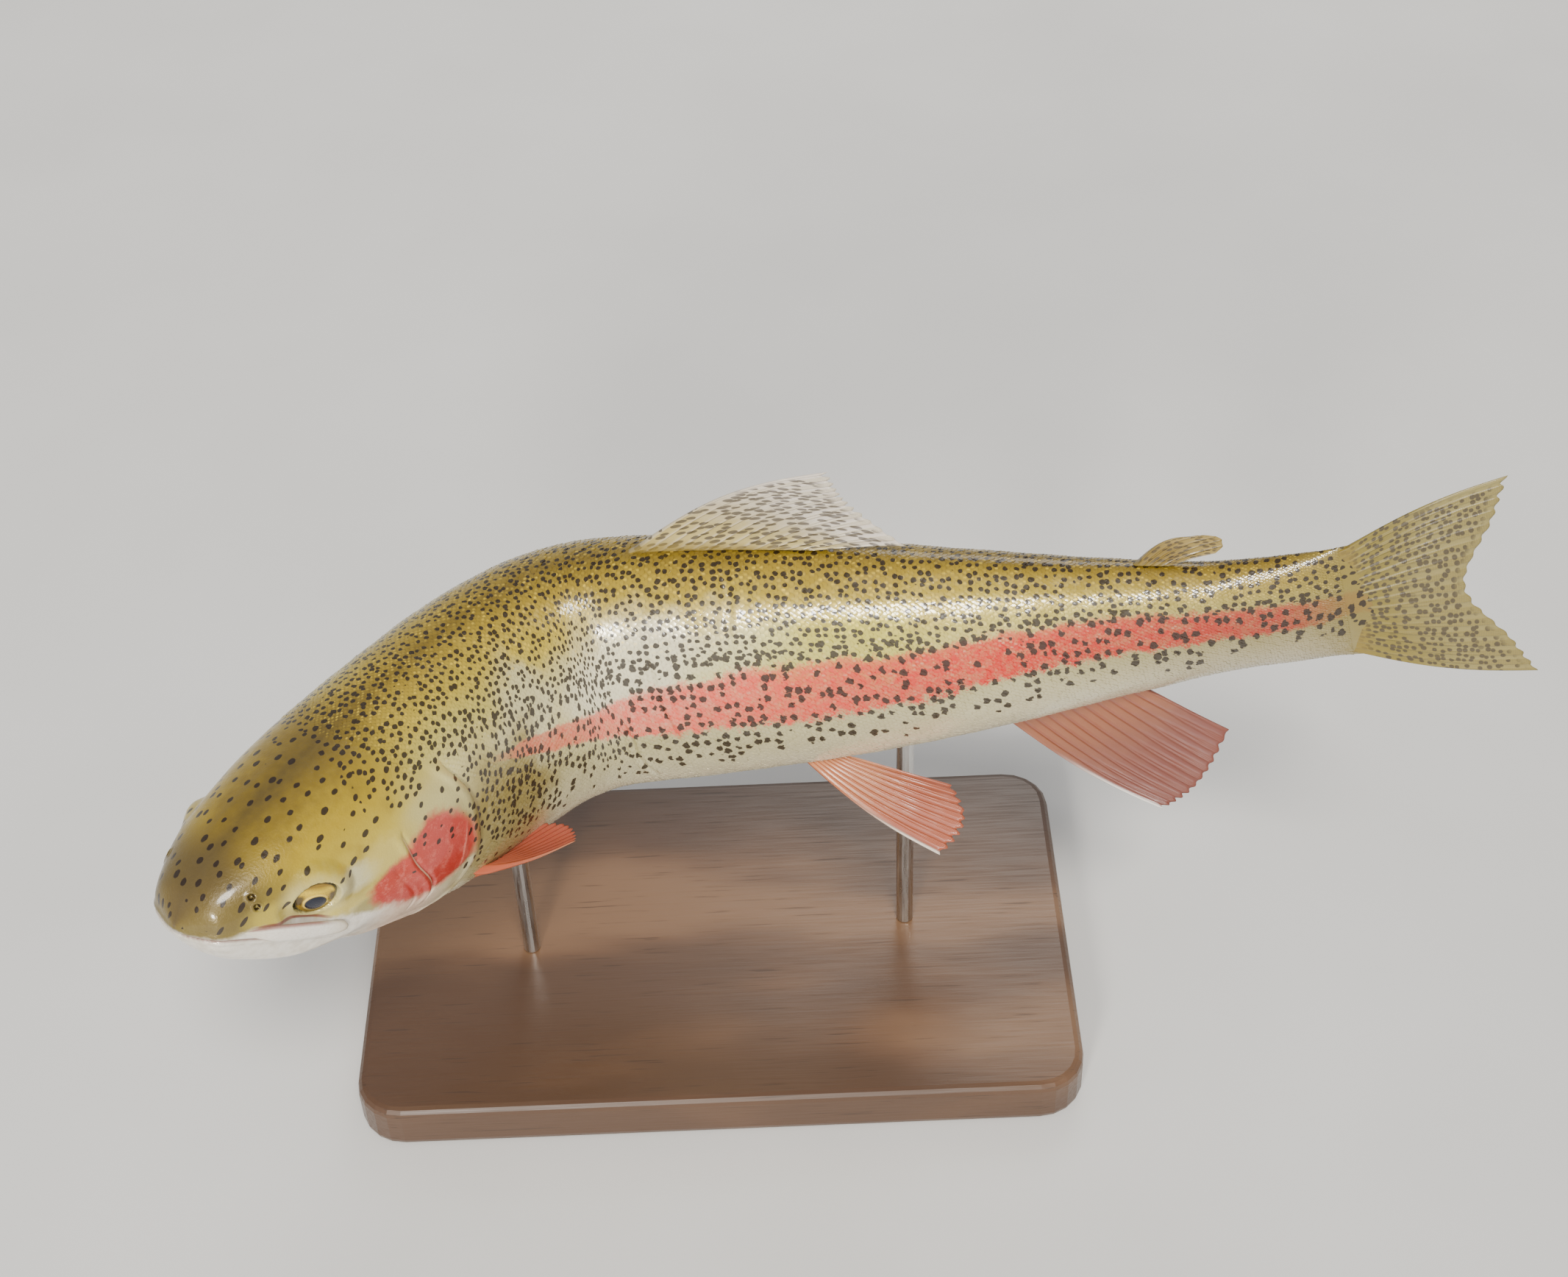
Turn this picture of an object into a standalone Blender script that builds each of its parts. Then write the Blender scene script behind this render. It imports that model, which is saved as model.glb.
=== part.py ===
"""A life-size rainbow trout on a display stand: its head is turned to its left, two rods hold it over a base.

The fish is built straight, in metres: x runs from snout to tail, -y is its left side and z is up.
bend_along_backbone() then carries every point to the curved pose, and the stand is made under the belly.
"""

import math

import bmesh
import bpy
import numpy as np
from mathutils import Matrix, Vector

# Driving dimensions, in metres
LENGTH = 0.48  # snout to tail tip
GAP = 0.0004  # left between neighbouring pieces
FIN_EDGE = 0.0007  # thickness of a fin at its rim
MEDIAN_FIN_ROOT = 0.0028  # thickness of a fin where it leaves the body
PAIRED_FIN_ROOT = 0.0024
TAIL_FIN_ROOT = 0.0036
FIN_ROWS = 7  # facets along a fin ray
FIN_CLEAR = 0.0022  # from the skin to the middle of a paired fin's root
COVER_DEPTH = 0.0016  # thickness of a gill cover
RECESS_HEIGHT = 0.006  # height of the cutter that makes its recess, past the skin
RECESS_MARGIN = 0.0007  # the recess under a gill cover is wider than the cover by this
EYE_RADIUS = 0.0076
EYE_HALF_DEPTH = 0.0052
EYE_SUNK = 0.0030  # centre of the eyeball under the skin
BASE_SIZE = (0.250, 0.150, 0.018)
BASE_CORNER = 0.016
BASE_EDGE = 0.003
ROD_RADIUS = 0.003
ROD_IN_BODY = 0.010
BELLY_HEIGHT = 0.070  # belly over the base at the lower rod
# The rods: station where each enters the belly, and the piece it enters
RODS = {"stand_rod_front": (0.300, "trunk_front"), "stand_rod_rear": (0.580, "trunk_middle")}
AROUND = 32  # facets round the body

# Body section at stations along the length, all as shares of the length:
# station, back over the backbone, belly under it, half width
SECTIONS = (
    (0.000, 0.020, 0.001, 0.011),
    (0.010, 0.031, -0.011, 0.026),
    (0.030, 0.044, -0.024, 0.038),
    (0.060, 0.058, -0.038, 0.050),
    (0.100, 0.071, -0.055, 0.059),
    (0.160, 0.086, -0.074, 0.066),
    (0.220, 0.095, -0.088, 0.068),
    (0.320, 0.101, -0.102, 0.066),
    (0.430, 0.098, -0.101, 0.059),
    (0.550, 0.087, -0.092, 0.049),
    (0.650, 0.070, -0.076, 0.039),
    (0.750, 0.053, -0.056, 0.027),
    (0.820, 0.045, -0.046, 0.019),
    (0.870, 0.046, -0.046, 0.011),
    (0.890, 0.048, -0.048, 0.004),
)
# How square a section is: 1 is an ellipse, less is boxier
ROUNDNESS = ((0.0, 0.82), (0.20, 0.86), (0.45, 0.95), (1.0, 1.0))
# Heading of the backbone at stations along the length: turn to the left and rise towards the tail, in degrees
HEADINGS = (
    (0.00, 55, -12),
    (0.16, 55, -12),
    (0.24, 54, -6),
    (0.32, 38, 1),
    (0.42, -6, 8),
    (0.55, -8, 9),
    (0.75, -8, 11),
    (1.00, -7, 16),
)
# Gill opening, the joint between head and trunk: degrees round from the back, station
GILL_OPENING = (
    (0, 0.150),
    (30, 0.158),
    (55, 0.178),
    (75, 0.196),
    (98, 0.206),
    (120, 0.196),
    (145, 0.165),
    (165, 0.135),
    (180, 0.125),
)
# Gill cover: degrees round from the back of its upper and lower edge, station of the front edge at each,
# how far the front edge bulges tailward between them and how far its lower corner sweeps forward
COVER_ANGLES = (56, 152)
COVER_FRONTS = (0.150, 0.140)
COVER_BULGE = 0.012
COVER_SWEEP = 0.012
COVER_REAR = -0.0028  # its rear edge from the gill opening
RECESS_REAR = 0.0040  # rear edge of the recess under it
TRUNK_JOINTS = (0.400, 0.635)
STALK_END = 0.890
# Side outline of the lower jaw: the mouth line, then the jaw joint and down behind the chin
JAW_OUTLINE = (
    (-0.020, 0.009),
    (0.000, 0.009),
    (0.045, -0.004),
    (0.088, -0.021),
    (0.105, -0.033),
    (0.099, -0.080),
    (-0.020, -0.080),
)
JAW_CUT_HALF = 0.06  # half the width of the block that parts the jaw, in metres
# The upper jaw's plate: station and height of its middle line at each end, half height at its ends and what
# is added to it between them
MAXILLA_STATIONS = (0.022, 0.092)
MAXILLA_HEIGHTS = (0.0080, -0.0190)
MAXILLA_HALF = (0.0028, 0.0040)
MAXILLA_THICKNESS = 0.0012
EYE_PLACE = (0.067, 0.016)  # station, height over the backbone
EYE_TURN = (0.12, 0.20)  # how far the eye turns forward and down from square to the skin
ANAL_LEAN = 0.35  # the anal fin swings to the left by this share of its height

TROUT = bpy.data.collections.new("rainbow_trout")
CUTTERS = bpy.data.collections.new("cutters")
COLOURS = {
    "flesh": ((0.42, 0.38, 0.12), 0.35, 0.0),
    "jaw": ((0.78, 0.74, 0.66), 0.35, 0.0),
    "gill_cover": ((0.70, 0.28, 0.22), 0.30, 0.0),
    "fin": ((0.45, 0.42, 0.26), 0.40, 0.0),
    "ruddy_fin": ((0.72, 0.34, 0.20), 0.40, 0.0),
    "eye": ((0.62, 0.50, 0.16), 0.08, 0.0),
    "walnut": ((0.16, 0.08, 0.04), 0.35, 0.0),
    "steel": ((0.62, 0.62, 0.62), 0.28, 1.0),
}


def clear_scene():
    for obj in list(bpy.data.objects):
        bpy.data.objects.remove(obj)
    for collection in (TROUT, CUTTERS):
        bpy.context.scene.collection.children.link(collection)
    CUTTERS.hide_render = True


def smooth_curve(places, values):
    """A curve through the points that never overshoots them (monotone cubic)."""
    x = np.array(places, float)
    y = np.array(values, float)
    step = np.diff(x)
    slope = np.diff(y) / step
    weight_a = 2 * step[1:] + step[:-1]
    weight_b = step[1:] + 2 * step[:-1]
    same_way = slope[1:] * slope[:-1] > 0
    safe = np.where(same_way, slope[1:] * slope[:-1], 1.0)
    inner = (weight_a + weight_b) * safe / (weight_a * slope[1:] + weight_b * slope[:-1] + (~same_way) * 1e9)
    tangent = np.concatenate([[slope[0]], np.where(same_way, inner, 0.0), [slope[-1]]])

    def at(place):
        place = np.clip(place, x[0], x[-1])
        i = np.clip(np.searchsorted(x, place, side="right") - 1, 0, len(x) - 2)
        t = (place - x[i]) / step[i]
        start = (1 + 2 * t) * (1 - t) ** 2 * y[i] + t * (1 - t) ** 2 * step[i] * tangent[i]
        end = t**2 * (3 - 2 * t) * y[i + 1] + t**2 * (t - 1) * step[i] * tangent[i + 1]
        return start + end

    return at


STATIONS, BACKS, BELLIES, HALF_WIDTHS = zip(*SECTIONS)
back = smooth_curve(STATIONS, BACKS)
belly = smooth_curve(STATIONS, BELLIES)
half_width = smooth_curve(STATIONS, HALF_WIDTHS)
roundness = smooth_curve(*zip(*ROUNDNESS))
gill_station = smooth_curve(*zip(*GILL_OPENING))


def gill_edge(angle):
    """Station of the gill opening at this many degrees round from the back, either side."""
    return float(gill_station(180 - abs(180 - angle % 360)))


def skin(station, angle):
    """Point of the straight body's skin. The angle runs from the back (0) over the left side (90)."""
    sine = math.sin(math.radians(angle))
    cosine = math.cos(math.radians(angle))
    power = float(roundness(station))
    top, bottom, side = (float(curve(station)) for curve in (back, belly, half_width))
    y = -side * math.copysign(abs(sine) ** power, sine)
    z = (top + bottom) / 2 + (top - bottom) / 2 * math.copysign(abs(cosine) ** power, cosine)
    return Vector((station, y, z)) * LENGTH


def skin_normal(station, angle):
    along = skin(station + 0.002, angle) - skin(max(station - 0.002, 0), angle)
    around = skin(station, angle + 1) - skin(station, angle - 1)
    return along.cross(around).normalized() * -1


def angle_at_height(station, height):
    """Degrees round from the back at which the left skin is at this height (a share of the length)."""
    top, bottom = float(back(station)), float(belly(station))
    share = max(-1.0, min(1.0, (height - (top + bottom) / 2) / ((top - bottom) / 2)))
    cosine = math.copysign(abs(share) ** (1 / float(roundness(station))), share)
    return math.degrees(math.acos(cosine))


def mesh_object(name, bm, collection=TROUT):
    mesh = bpy.data.meshes.new(name)
    bmesh.ops.recalc_face_normals(bm, faces=bm.faces)
    bm.to_mesh(mesh)
    bm.free()
    obj = bpy.data.objects.new(name, mesh)
    collection.objects.link(obj)
    if collection is CUTTERS:
        obj.hide_render = True
        obj.display_type = "WIRE"
    return obj


def loft(name, rings):
    """A closed solid through rings of equally many points, each end closed by a fan."""
    bm = bmesh.new()
    rows = [[bm.verts.new(point) for point in ring] for ring in rings]
    count = len(rings[0])
    for row, following in zip(rows, rows[1:]):
        for i in range(count):
            j = (i + 1) % count
            bm.faces.new((row[i], row[j], following[j], following[i]))
    for row in (rows[0], rows[-1]):
        centre = sum((vert.co for vert in row), Vector()) / count
        hub = bm.verts.new(centre)
        for i in range(count):
            bm.faces.new((row[i], row[(i + 1) % count], hub))
    return mesh_object(name, bm)


def sheet(name, rows, collection=TROUT):
    """An open surface through a grid of points."""
    bm = bmesh.new()
    grid = [[bm.verts.new(point) for point in row] for row in rows]
    for row, following in zip(grid, grid[1:]):
        for i in range(len(row) - 1):
            bm.faces.new((row[i], row[i + 1], following[i + 1], following[i]))
    return mesh_object(name, bm, collection)


def thicken(obj, thickness, offset=0.0, taper=None):
    """Solidify. taper(vertex index) gives 1 where the sheet is full and 0 where it is as thin as FIN_EDGE."""
    solid = obj.modifiers.new("thickness", "SOLIDIFY")
    solid.thickness = thickness
    solid.offset = offset
    if taper:
        group = obj.vertex_groups.new(name="full")
        for vertex in obj.data.vertices:
            group.add([vertex.index], taper(vertex.index), "REPLACE")
        solid.vertex_group = "full"
        solid.thickness_vertex_group = FIN_EDGE / thickness


def boolean(obj, other, operation):
    modifier = obj.modifiers.new(operation.lower(), "BOOLEAN")
    modifier.operation = operation
    modifier.solver = "EXACT"
    modifier.object = other


def settle(obj):
    """Replaces the object's mesh by what its modifiers make of it."""
    graph = bpy.context.evaluated_depsgraph_get()
    mesh = bpy.data.meshes.new_from_object(obj.evaluated_get(graph))
    obj.modifiers.clear()
    obj.data = mesh
    mesh.name = obj.name


def paint(obj, colour):
    (red, green, blue), rough, metal = COLOURS[colour]
    material = bpy.data.materials.new(obj.name)
    material.use_nodes = True
    shader = material.node_tree.nodes["Principled BSDF"]
    shader.inputs["Base Color"].default_value = (red, green, blue, 1)
    shader.inputs["Roughness"].default_value = rough
    shader.inputs["Metallic"].default_value = metal
    obj.data.materials.clear()
    obj.data.materials.append(material)
    obj.data.shade_smooth()
    obj.data.set_sharp_from_angle(angle=math.radians(35))


def backbone():
    """Points and frames along the bent backbone, from snout to tail: positions, tailward, right and up."""
    places, turns, rises = zip(*HEADINGS)
    stations = np.linspace(0, 1, 401)
    turn = np.radians(smooth_curve(places, turns)(stations))
    rise = np.radians(smooth_curve(places, rises)(stations))
    tailward = np.stack([np.cos(turn) * np.cos(rise), np.sin(turn) * np.cos(rise), np.sin(rise)], 1)
    right = np.stack([-np.sin(turn), np.cos(turn), 0 * turn], 1)
    up = np.cross(tailward, right)
    steps = (tailward[1:] + tailward[:-1]) / 2 * LENGTH / (len(stations) - 1)
    positions = np.concatenate([[[0, 0, 0]], np.cumsum(steps, 0)])
    return stations, positions - positions[len(stations) // 2], tailward, right, up


BACKBONE = backbone()


def bent(point):
    """Where a point of the straight fish lies on the bent one."""
    stations, positions, tailward, right, up = BACKBONE
    station = min(max(point[0] / LENGTH, 0.0), 1.0)
    spare = point[0] - station * LENGTH
    centre, ahead, side, above = (
        np.array([np.interp(station, stations, table[:, axis]) for axis in range(3)])
        for table in (positions, tailward, right, up)
    )
    return Vector(centre + ahead * spare + side * point[1] + above * point[2])


def bend_along_backbone(obj):
    settle(obj)
    for vertex in obj.data.vertices:
        vertex.co = bent(vertex.co)


def body_rings(start, end, count):
    """Rings of skin points between two joints, each given as a function of the angle."""
    rings = []
    for i in range(count + 1):
        share = i / count
        ring = []
        for k in range(AROUND):
            angle = 360 * k / AROUND
            ring.append(skin(start(angle) + (end(angle) - start(angle)) * share, angle))
        rings.append(ring)
    return rings


def make_trunk():
    half_gap = GAP / 2 / LENGTH
    first, second = TRUNK_JOINTS
    lengths = (
        ("trunk_front", lambda a: gill_edge(a) + half_gap, lambda a: first - half_gap, 11),
        ("trunk_middle", lambda a: first + half_gap, lambda a: second - half_gap, 8),
        ("tail_stalk", lambda a: second + half_gap, lambda a: STALK_END, 9),
    )
    for name, start, end, rows in lengths:
        paint(loft(name, body_rings(start, end, rows)), "flesh")


def cover_patch(name, lift, recess, collection):
    """The skin under a gill cover, lifted along its normal, or the somewhat larger one of its recess."""
    first, last = COVER_ANGLES
    spare_turn = 1.0 if recess else 0.0
    rear_from_opening = RECESS_REAR if recess else COVER_REAR
    rows = []
    for i in range(13):
        angle = first - spare_turn + (last - first + 2 * spare_turn) * i / 12
        share = (angle - first) / (last - first)
        front = COVER_FRONTS[0] + (COVER_FRONTS[1] - COVER_FRONTS[0]) * share
        front += COVER_BULGE * (1 - (2 * share - 1) ** 2)
        front -= COVER_SWEEP * max(0, share - 0.6) / 0.4
        front -= RECESS_MARGIN / LENGTH if recess else 0
        rear = gill_edge(angle) + rear_from_opening
        row = []
        for k in range(6):
            station = front + (rear - front) * k / 5
            row.append(skin(station, angle) + skin_normal(station, angle) * lift)
        rows.append(row)
    return sheet(name, rows, collection)


def mirrored(obj, name, collection=TROUT):
    """The right-hand twin of a piece of the straight fish."""
    bm = bmesh.new()
    bm.from_mesh(obj.data)
    bmesh.ops.scale(bm, vec=(1, -1, 1), verts=bm.verts)
    bmesh.ops.reverse_faces(bm, faces=bm.faces)
    return mesh_object(name, bm, collection)


def eyeball(name, grow, collection):
    """A flattened ball set in the left side of the head, grown a little for its socket."""
    station, height = EYE_PLACE
    angle = angle_at_height(station, height)
    surface = skin(station, angle)
    outward = skin_normal(station, angle)
    outward = (outward - Vector((EYE_TURN[0], 0, EYE_TURN[1]))).normalized()
    turn = Vector((0, 0, 1)).rotation_difference(outward).to_matrix().to_4x4()
    size = Matrix.Diagonal((EYE_RADIUS + grow, EYE_RADIUS + grow, EYE_HALF_DEPTH + grow, 1))
    bm = bmesh.new()
    bmesh.ops.create_uvsphere(bm, u_segments=16, v_segments=10, radius=1.0)
    bmesh.ops.transform(bm, matrix=turn @ size, verts=bm.verts)
    bmesh.ops.translate(bm, vec=surface - outward * EYE_SUNK, verts=bm.verts)
    return mesh_object(name, bm, collection)


def jaw_block(name, inset):
    """A block through the head with the side outline of the lower jaw, drawn in by the inset."""
    outline = [Vector((x * LENGTH, 0, z * LENGTH)) for x, z in JAW_OUTLINE]
    outline = [
        point + Vector((-inset if x > 0.09 else 0, 0, -inset if z > -0.05 else 0))
        for point, (x, z) in zip(outline, JAW_OUTLINE)
    ]
    bm = bmesh.new()
    face = bm.faces.new([bm.verts.new(point - Vector((0, JAW_CUT_HALF, 0))) for point in outline])
    made = bmesh.ops.extrude_face_region(bm, geom=[face])
    moved = [item for item in made["geom"] if isinstance(item, bmesh.types.BMVert)]
    bmesh.ops.translate(bm, vec=(0, 2 * JAW_CUT_HALF, 0), verts=moved)
    return mesh_object(name, bm, CUTTERS)


def make_head():
    half_gap = GAP / 2 / LENGTH
    rows = body_rings(lambda a: 0.0, lambda a: gill_edge(a) - half_gap, 16)
    head = loft("head", rows)
    jaw = loft("lower_jaw", rows)
    boolean(jaw, jaw_block("jaw_space", GAP / 2), "INTERSECT")
    boolean(head, jaw_block("jaw_cut", -GAP / 2), "DIFFERENCE")
    left_socket = eyeball("socket_left", GAP, CUTTERS)
    left_recess = cover_patch("recess_left", -COVER_DEPTH - GAP, True, CUTTERS)
    thicken(left_recess, RECESS_HEIGHT, 1.0)
    settle(left_recess)
    for cutter in (left_socket, left_recess):
        boolean(head, cutter, "DIFFERENCE")
        boolean(head, mirrored(cutter, cutter.name.replace("left", "right"), CUTTERS), "DIFFERENCE")
    settle(head)
    settle(jaw)
    paint(head, "flesh")
    paint(jaw, "jaw")
    for side in ("left", "right"):
        eye = eyeball(f"eye_{side}", 0.0, TROUT)
        cover = cover_patch(f"gill_cover_{side}", -COVER_DEPTH, False, TROUT)
        thicken(cover, COVER_DEPTH, 1.0)
        settle(cover)
        for obj, colour in ((eye, "eye"), (cover, "gill_cover")):
            if side == "right":
                twin = mirrored(obj, "twin")
                obj.data = twin.data
                bpy.data.objects.remove(twin)
            paint(obj, colour)


def make_maxillae():
    """The upper jaw's plate on each side, over the mouth line from the snout to behind the eye."""
    front, rear = MAXILLA_STATIONS
    high, low = MAXILLA_HEIGHTS
    narrow, added = MAXILLA_HALF
    for side in ("left", "right"):
        rows = []
        for i in range(11):
            share = i / 10
            station = front + (rear - front) * share
            middle = high + (low - high) * share
            half_height = narrow + added * math.sin(math.pi * min(share * 0.75 + 0.08, 1))
            row = []
            for k in range(4):
                height = middle + half_height * (1 - 2 * k / 3)
                angle = angle_at_height(station, height)
                row.append(skin(station, angle) + skin_normal(station, angle) * GAP)
            rows.append(row)
        plate = sheet(f"maxilla_{side}", rows)
        thicken(plate, MAXILLA_THICKNESS, 1.0)
        settle(plate)
        if side == "right":
            twin = mirrored(plate, "twin")
            plate.data = twin.data
            bpy.data.objects.remove(twin)
        paint(plate, "jaw")


def fin(name, base, tip, bow, rays, thickness, colour):
    """A fin from base(share) to tip(share), share running from the leading ray (0) to the last one (1).

    Each ray bows by the vector bow(share) at its middle, and the blade thins out to its rim.
    """
    grid = []
    for i in range(rays):
        share = i / (rays - 1)
        start, end = base(share), tip(share)
        curve = bow(share)
        grid.append([
            start.lerp(end, k / FIN_ROWS) + curve * math.sin(math.pi * k / FIN_ROWS)
            for k in range(FIN_ROWS + 1)
        ])

    def fullness(index):
        outward = index % (FIN_ROWS + 1) / FIN_ROWS
        across = abs(2 * (index // (FIN_ROWS + 1)) / (rays - 1) - 1)
        return (1 - outward) * (1 - 0.5 * across**4)

    blade = sheet(name, grid)
    thicken(blade, thickness, 0.0, fullness)
    settle(blade)
    paint(blade, colour)
    return blade


def median_fin(name, stations, outline, bow, rays, colour, lean=0.0):
    """A fin on the midline, under the belly if it leans. The outline is its rim: share, station, height."""
    shares, rim_stations, rim_heights = zip(*outline)
    rim_station = smooth_curve(shares, rim_stations)
    rim_height = smooth_curve(shares, rim_heights)
    edge, sign = (belly, -1) if lean else (back, 1)

    def point(station, height):
        z = float(edge(station)) + sign * (height + GAP * 1.5 / LENGTH)
        return Vector((station, -lean * height, z)) * LENGTH

    def base(share):
        return point(stations[0] + (stations[1] - stations[0]) * share, 0)

    def tip(share):
        return point(float(rim_station(share)), float(rim_height(share)))

    def ray_bow(share):
        return Vector((0, 0, sign * bow * (1 - share) * LENGTH))

    fin(name, base, tip, ray_bow, rays, MEDIAN_FIN_ROOT, colour)


# Rims of the midline fins: share from the leading to the last ray, station, height over the body's edge
DORSAL_RIM = (
    (0, 0.567, 0.064),
    (0.25, 0.571, 0.052),
    (0.5, 0.576, 0.040),
    (0.75, 0.588, 0.024),
    (1, 0.608, 0.006),
)
ADIPOSE_RIM = ((0, 0.800, 0.024), (0.5, 0.813, 0.020), (1, 0.812, 0.008))
ANAL_RIM = ((0, 0.750, 0.088), (0.3, 0.765, 0.083), (0.65, 0.784, 0.066), (1, 0.800, 0.042))
TAIL_RIM = ((0, 0.998, 0.084), (0.2, 0.986, 0.055), (0.5, 0.962, 0), (0.8, 0.986, -0.055), (1, 0.998, -0.084))
TAIL_ROOT_HALF = 0.046  # half the height of the tail fin's root
TAIL_BOW = 0.006  # how far its outer rays bow

def make_median_fins():
    median_fin("dorsal_fin", (0.425, 0.550), DORSAL_RIM, 0.013, 13, "fin")
    median_fin("adipose_fin", (0.757, 0.778), ADIPOSE_RIM, 0.006, 6, "fin")
    median_fin("anal_fin", (0.652, 0.748), ANAL_RIM, 0.008, 12, "ruddy_fin", ANAL_LEAN)
    shares, rim_stations, rim_heights = zip(*TAIL_RIM)
    rim_station = smooth_curve(shares, rim_stations)
    rim_height = smooth_curve(shares, rim_heights)
    root = STALK_END + GAP / LENGTH

    def base(share):
        return Vector((root, 0, TAIL_ROOT_HALF * (1 - 2 * share))) * LENGTH

    def tip(share):
        return Vector((float(rim_station(share)), 0, float(rim_height(share)))) * LENGTH

    def bow(share):
        return Vector((0, 0, TAIL_BOW * (1 - 2 * share) * LENGTH))

    fin("tail_fin", base, tip, bow, 17, TAIL_FIN_ROOT, "fin")


# Paired fins: where the base starts and ends (station, degrees round from the back), then how far the
# leading and the last ray reach from there (tailward, outward, down), as shares of the length
PAIRED_FINS = {
    "pectoral_fin": (((0.209, 124), (0.217, 143)), ((0.081, 0.025, 0.016), (0.063, 0.010, -0.009))),
    "pelvic_fin": (((0.512, 151), (0.536, 158)), ((0.090, 0.048, 0.052), (0.074, 0.006, 0.030))),
}

PAIRED_SWELL = (0.013, -0.003, -0.001)  # the middle of the rim past the line between its ends
PAIRED_BOW = (0, -0.004, -0.004)  # how the leading ray bows


def make_paired_fins():
    for name, (places, reaches) in PAIRED_FINS.items():
        roots = [skin(*place) + skin_normal(*place) * FIN_CLEAR for place in places]
        tips = [root + Vector((a, -b, -c)) * LENGTH for root, (a, b, c) in zip(roots, reaches)]

        def base(share):
            return roots[0].lerp(roots[1], share)

        def tip(share):
            return tips[0].lerp(tips[1], share) + Vector(PAIRED_SWELL) * LENGTH * math.sin(math.pi * share)

        def bow(share):
            return Vector(PAIRED_BOW) * LENGTH * (1 - share)

        left = fin(f"{name}_left", base, tip, bow, 10, PAIRED_FIN_ROOT, "ruddy_fin")
        paint(mirrored(left, f"{name}_right"), "ruddy_fin")


def make_stand(fish):
    """A bevelled board and two rods, each let into a drilled hole in the belly."""
    feet = [bent(skin(station, 180)) for station, _ in RODS.values()]
    middle = sum(feet, Vector()) / len(feet)
    board_top = min(foot.z for foot in feet) - BELLY_HEIGHT
    bm = bmesh.new()
    bmesh.ops.create_cube(bm, size=1.0)
    bmesh.ops.scale(bm, vec=BASE_SIZE, verts=bm.verts)
    corners = [edge for edge in bm.edges if edge.verts[0].co.z * edge.verts[1].co.z < 0]
    bmesh.ops.bevel(bm, geom=corners, offset=BASE_CORNER, segments=5, profile=0.5, affect="EDGES")
    board = mesh_object("stand_base", bm)
    board.location = (middle.x, middle.y, board_top - BASE_SIZE[2] / 2)
    edge = board.modifiers.new("eased edge", "BEVEL")
    edge.width = BASE_EDGE
    edge.segments = 3
    paint(board, "walnut")
    for name, (station, body) in RODS.items():
        foot = bent(skin(station, 180))
        top = foot.z + ROD_IN_BODY
        bottom = board_top + GAP
        for radius, kind, clear in ((ROD_RADIUS, TROUT, 0.0), (ROD_RADIUS + GAP, CUTTERS, GAP)):
            bm = bmesh.new()
            bmesh.ops.create_cone(
                bm, cap_ends=True, segments=16, radius1=radius, radius2=radius, depth=top + clear - bottom
            )
            rod = mesh_object(name if kind is TROUT else f"{name}_hole", bm, kind)
            rod.location = (foot.x, foot.y, (top + clear + bottom) / 2)
            if kind is CUTTERS:
                boolean(fish[body], rod, "DIFFERENCE")
            else:
                paint(rod, "steel")


def stand_on_floor():
    """Parents every piece to one empty, placed so that the model's box stands centred on the origin."""
    bpy.context.view_layer.update()
    graph = bpy.context.evaluated_depsgraph_get()
    corners = []
    for obj in TROUT.objects:
        evaluated = obj.evaluated_get(graph)
        corners += [obj.matrix_world @ vertex.co for vertex in evaluated.data.vertices]
    low = Vector(min(corner[axis] for corner in corners) for axis in range(3))
    high = Vector(max(corner[axis] for corner in corners) for axis in range(3))
    display = bpy.data.objects.new("display", None)
    TROUT.objects.link(display)
    display.location = (-(low.x + high.x) / 2, -(low.y + high.y) / 2, -low.z)
    for obj in list(TROUT.objects) + list(CUTTERS.objects):
        if obj is not display:
            obj.parent = display


clear_scene()
make_trunk()
make_head()
make_maxillae()
make_median_fins()
make_paired_fins()
fish = {obj.name: obj for obj in TROUT.objects}
for cutter in list(CUTTERS.objects):
    bpy.data.objects.remove(cutter)
for piece in fish.values():
    bend_along_backbone(piece)
make_stand(fish)
stand_on_floor()
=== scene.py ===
import math

import bpy
import numpy as np
from mathutils import Matrix, Vector


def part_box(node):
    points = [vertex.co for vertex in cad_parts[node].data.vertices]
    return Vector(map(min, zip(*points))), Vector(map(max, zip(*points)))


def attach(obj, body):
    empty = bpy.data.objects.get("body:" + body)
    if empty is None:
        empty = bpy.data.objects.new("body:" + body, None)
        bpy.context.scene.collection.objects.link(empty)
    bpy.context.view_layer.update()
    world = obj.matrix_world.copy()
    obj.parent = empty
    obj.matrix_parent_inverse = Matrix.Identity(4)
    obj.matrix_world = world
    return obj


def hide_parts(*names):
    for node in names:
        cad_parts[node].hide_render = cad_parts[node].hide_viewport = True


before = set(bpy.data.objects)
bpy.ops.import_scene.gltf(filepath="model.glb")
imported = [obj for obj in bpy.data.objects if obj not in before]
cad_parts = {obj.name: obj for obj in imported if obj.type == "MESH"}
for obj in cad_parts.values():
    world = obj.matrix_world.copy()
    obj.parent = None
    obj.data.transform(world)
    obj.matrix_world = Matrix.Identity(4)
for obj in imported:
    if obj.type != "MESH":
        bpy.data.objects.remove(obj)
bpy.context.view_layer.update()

# ---------------------------------------------------------------------------------------------------
# Skin. One closed hide from snout to tail, moulded over the carved body and bent with it. The mouth,
# nostrils, eye openings, gill covers and creases are modelled in it, and the scales lie on it.
# It is worked out on the straight fish: x from snout to tail, -y its left side, z up, then bent.

LENGTH = 0.48
MM = 0.001
SKIN_END = 0.905
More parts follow.
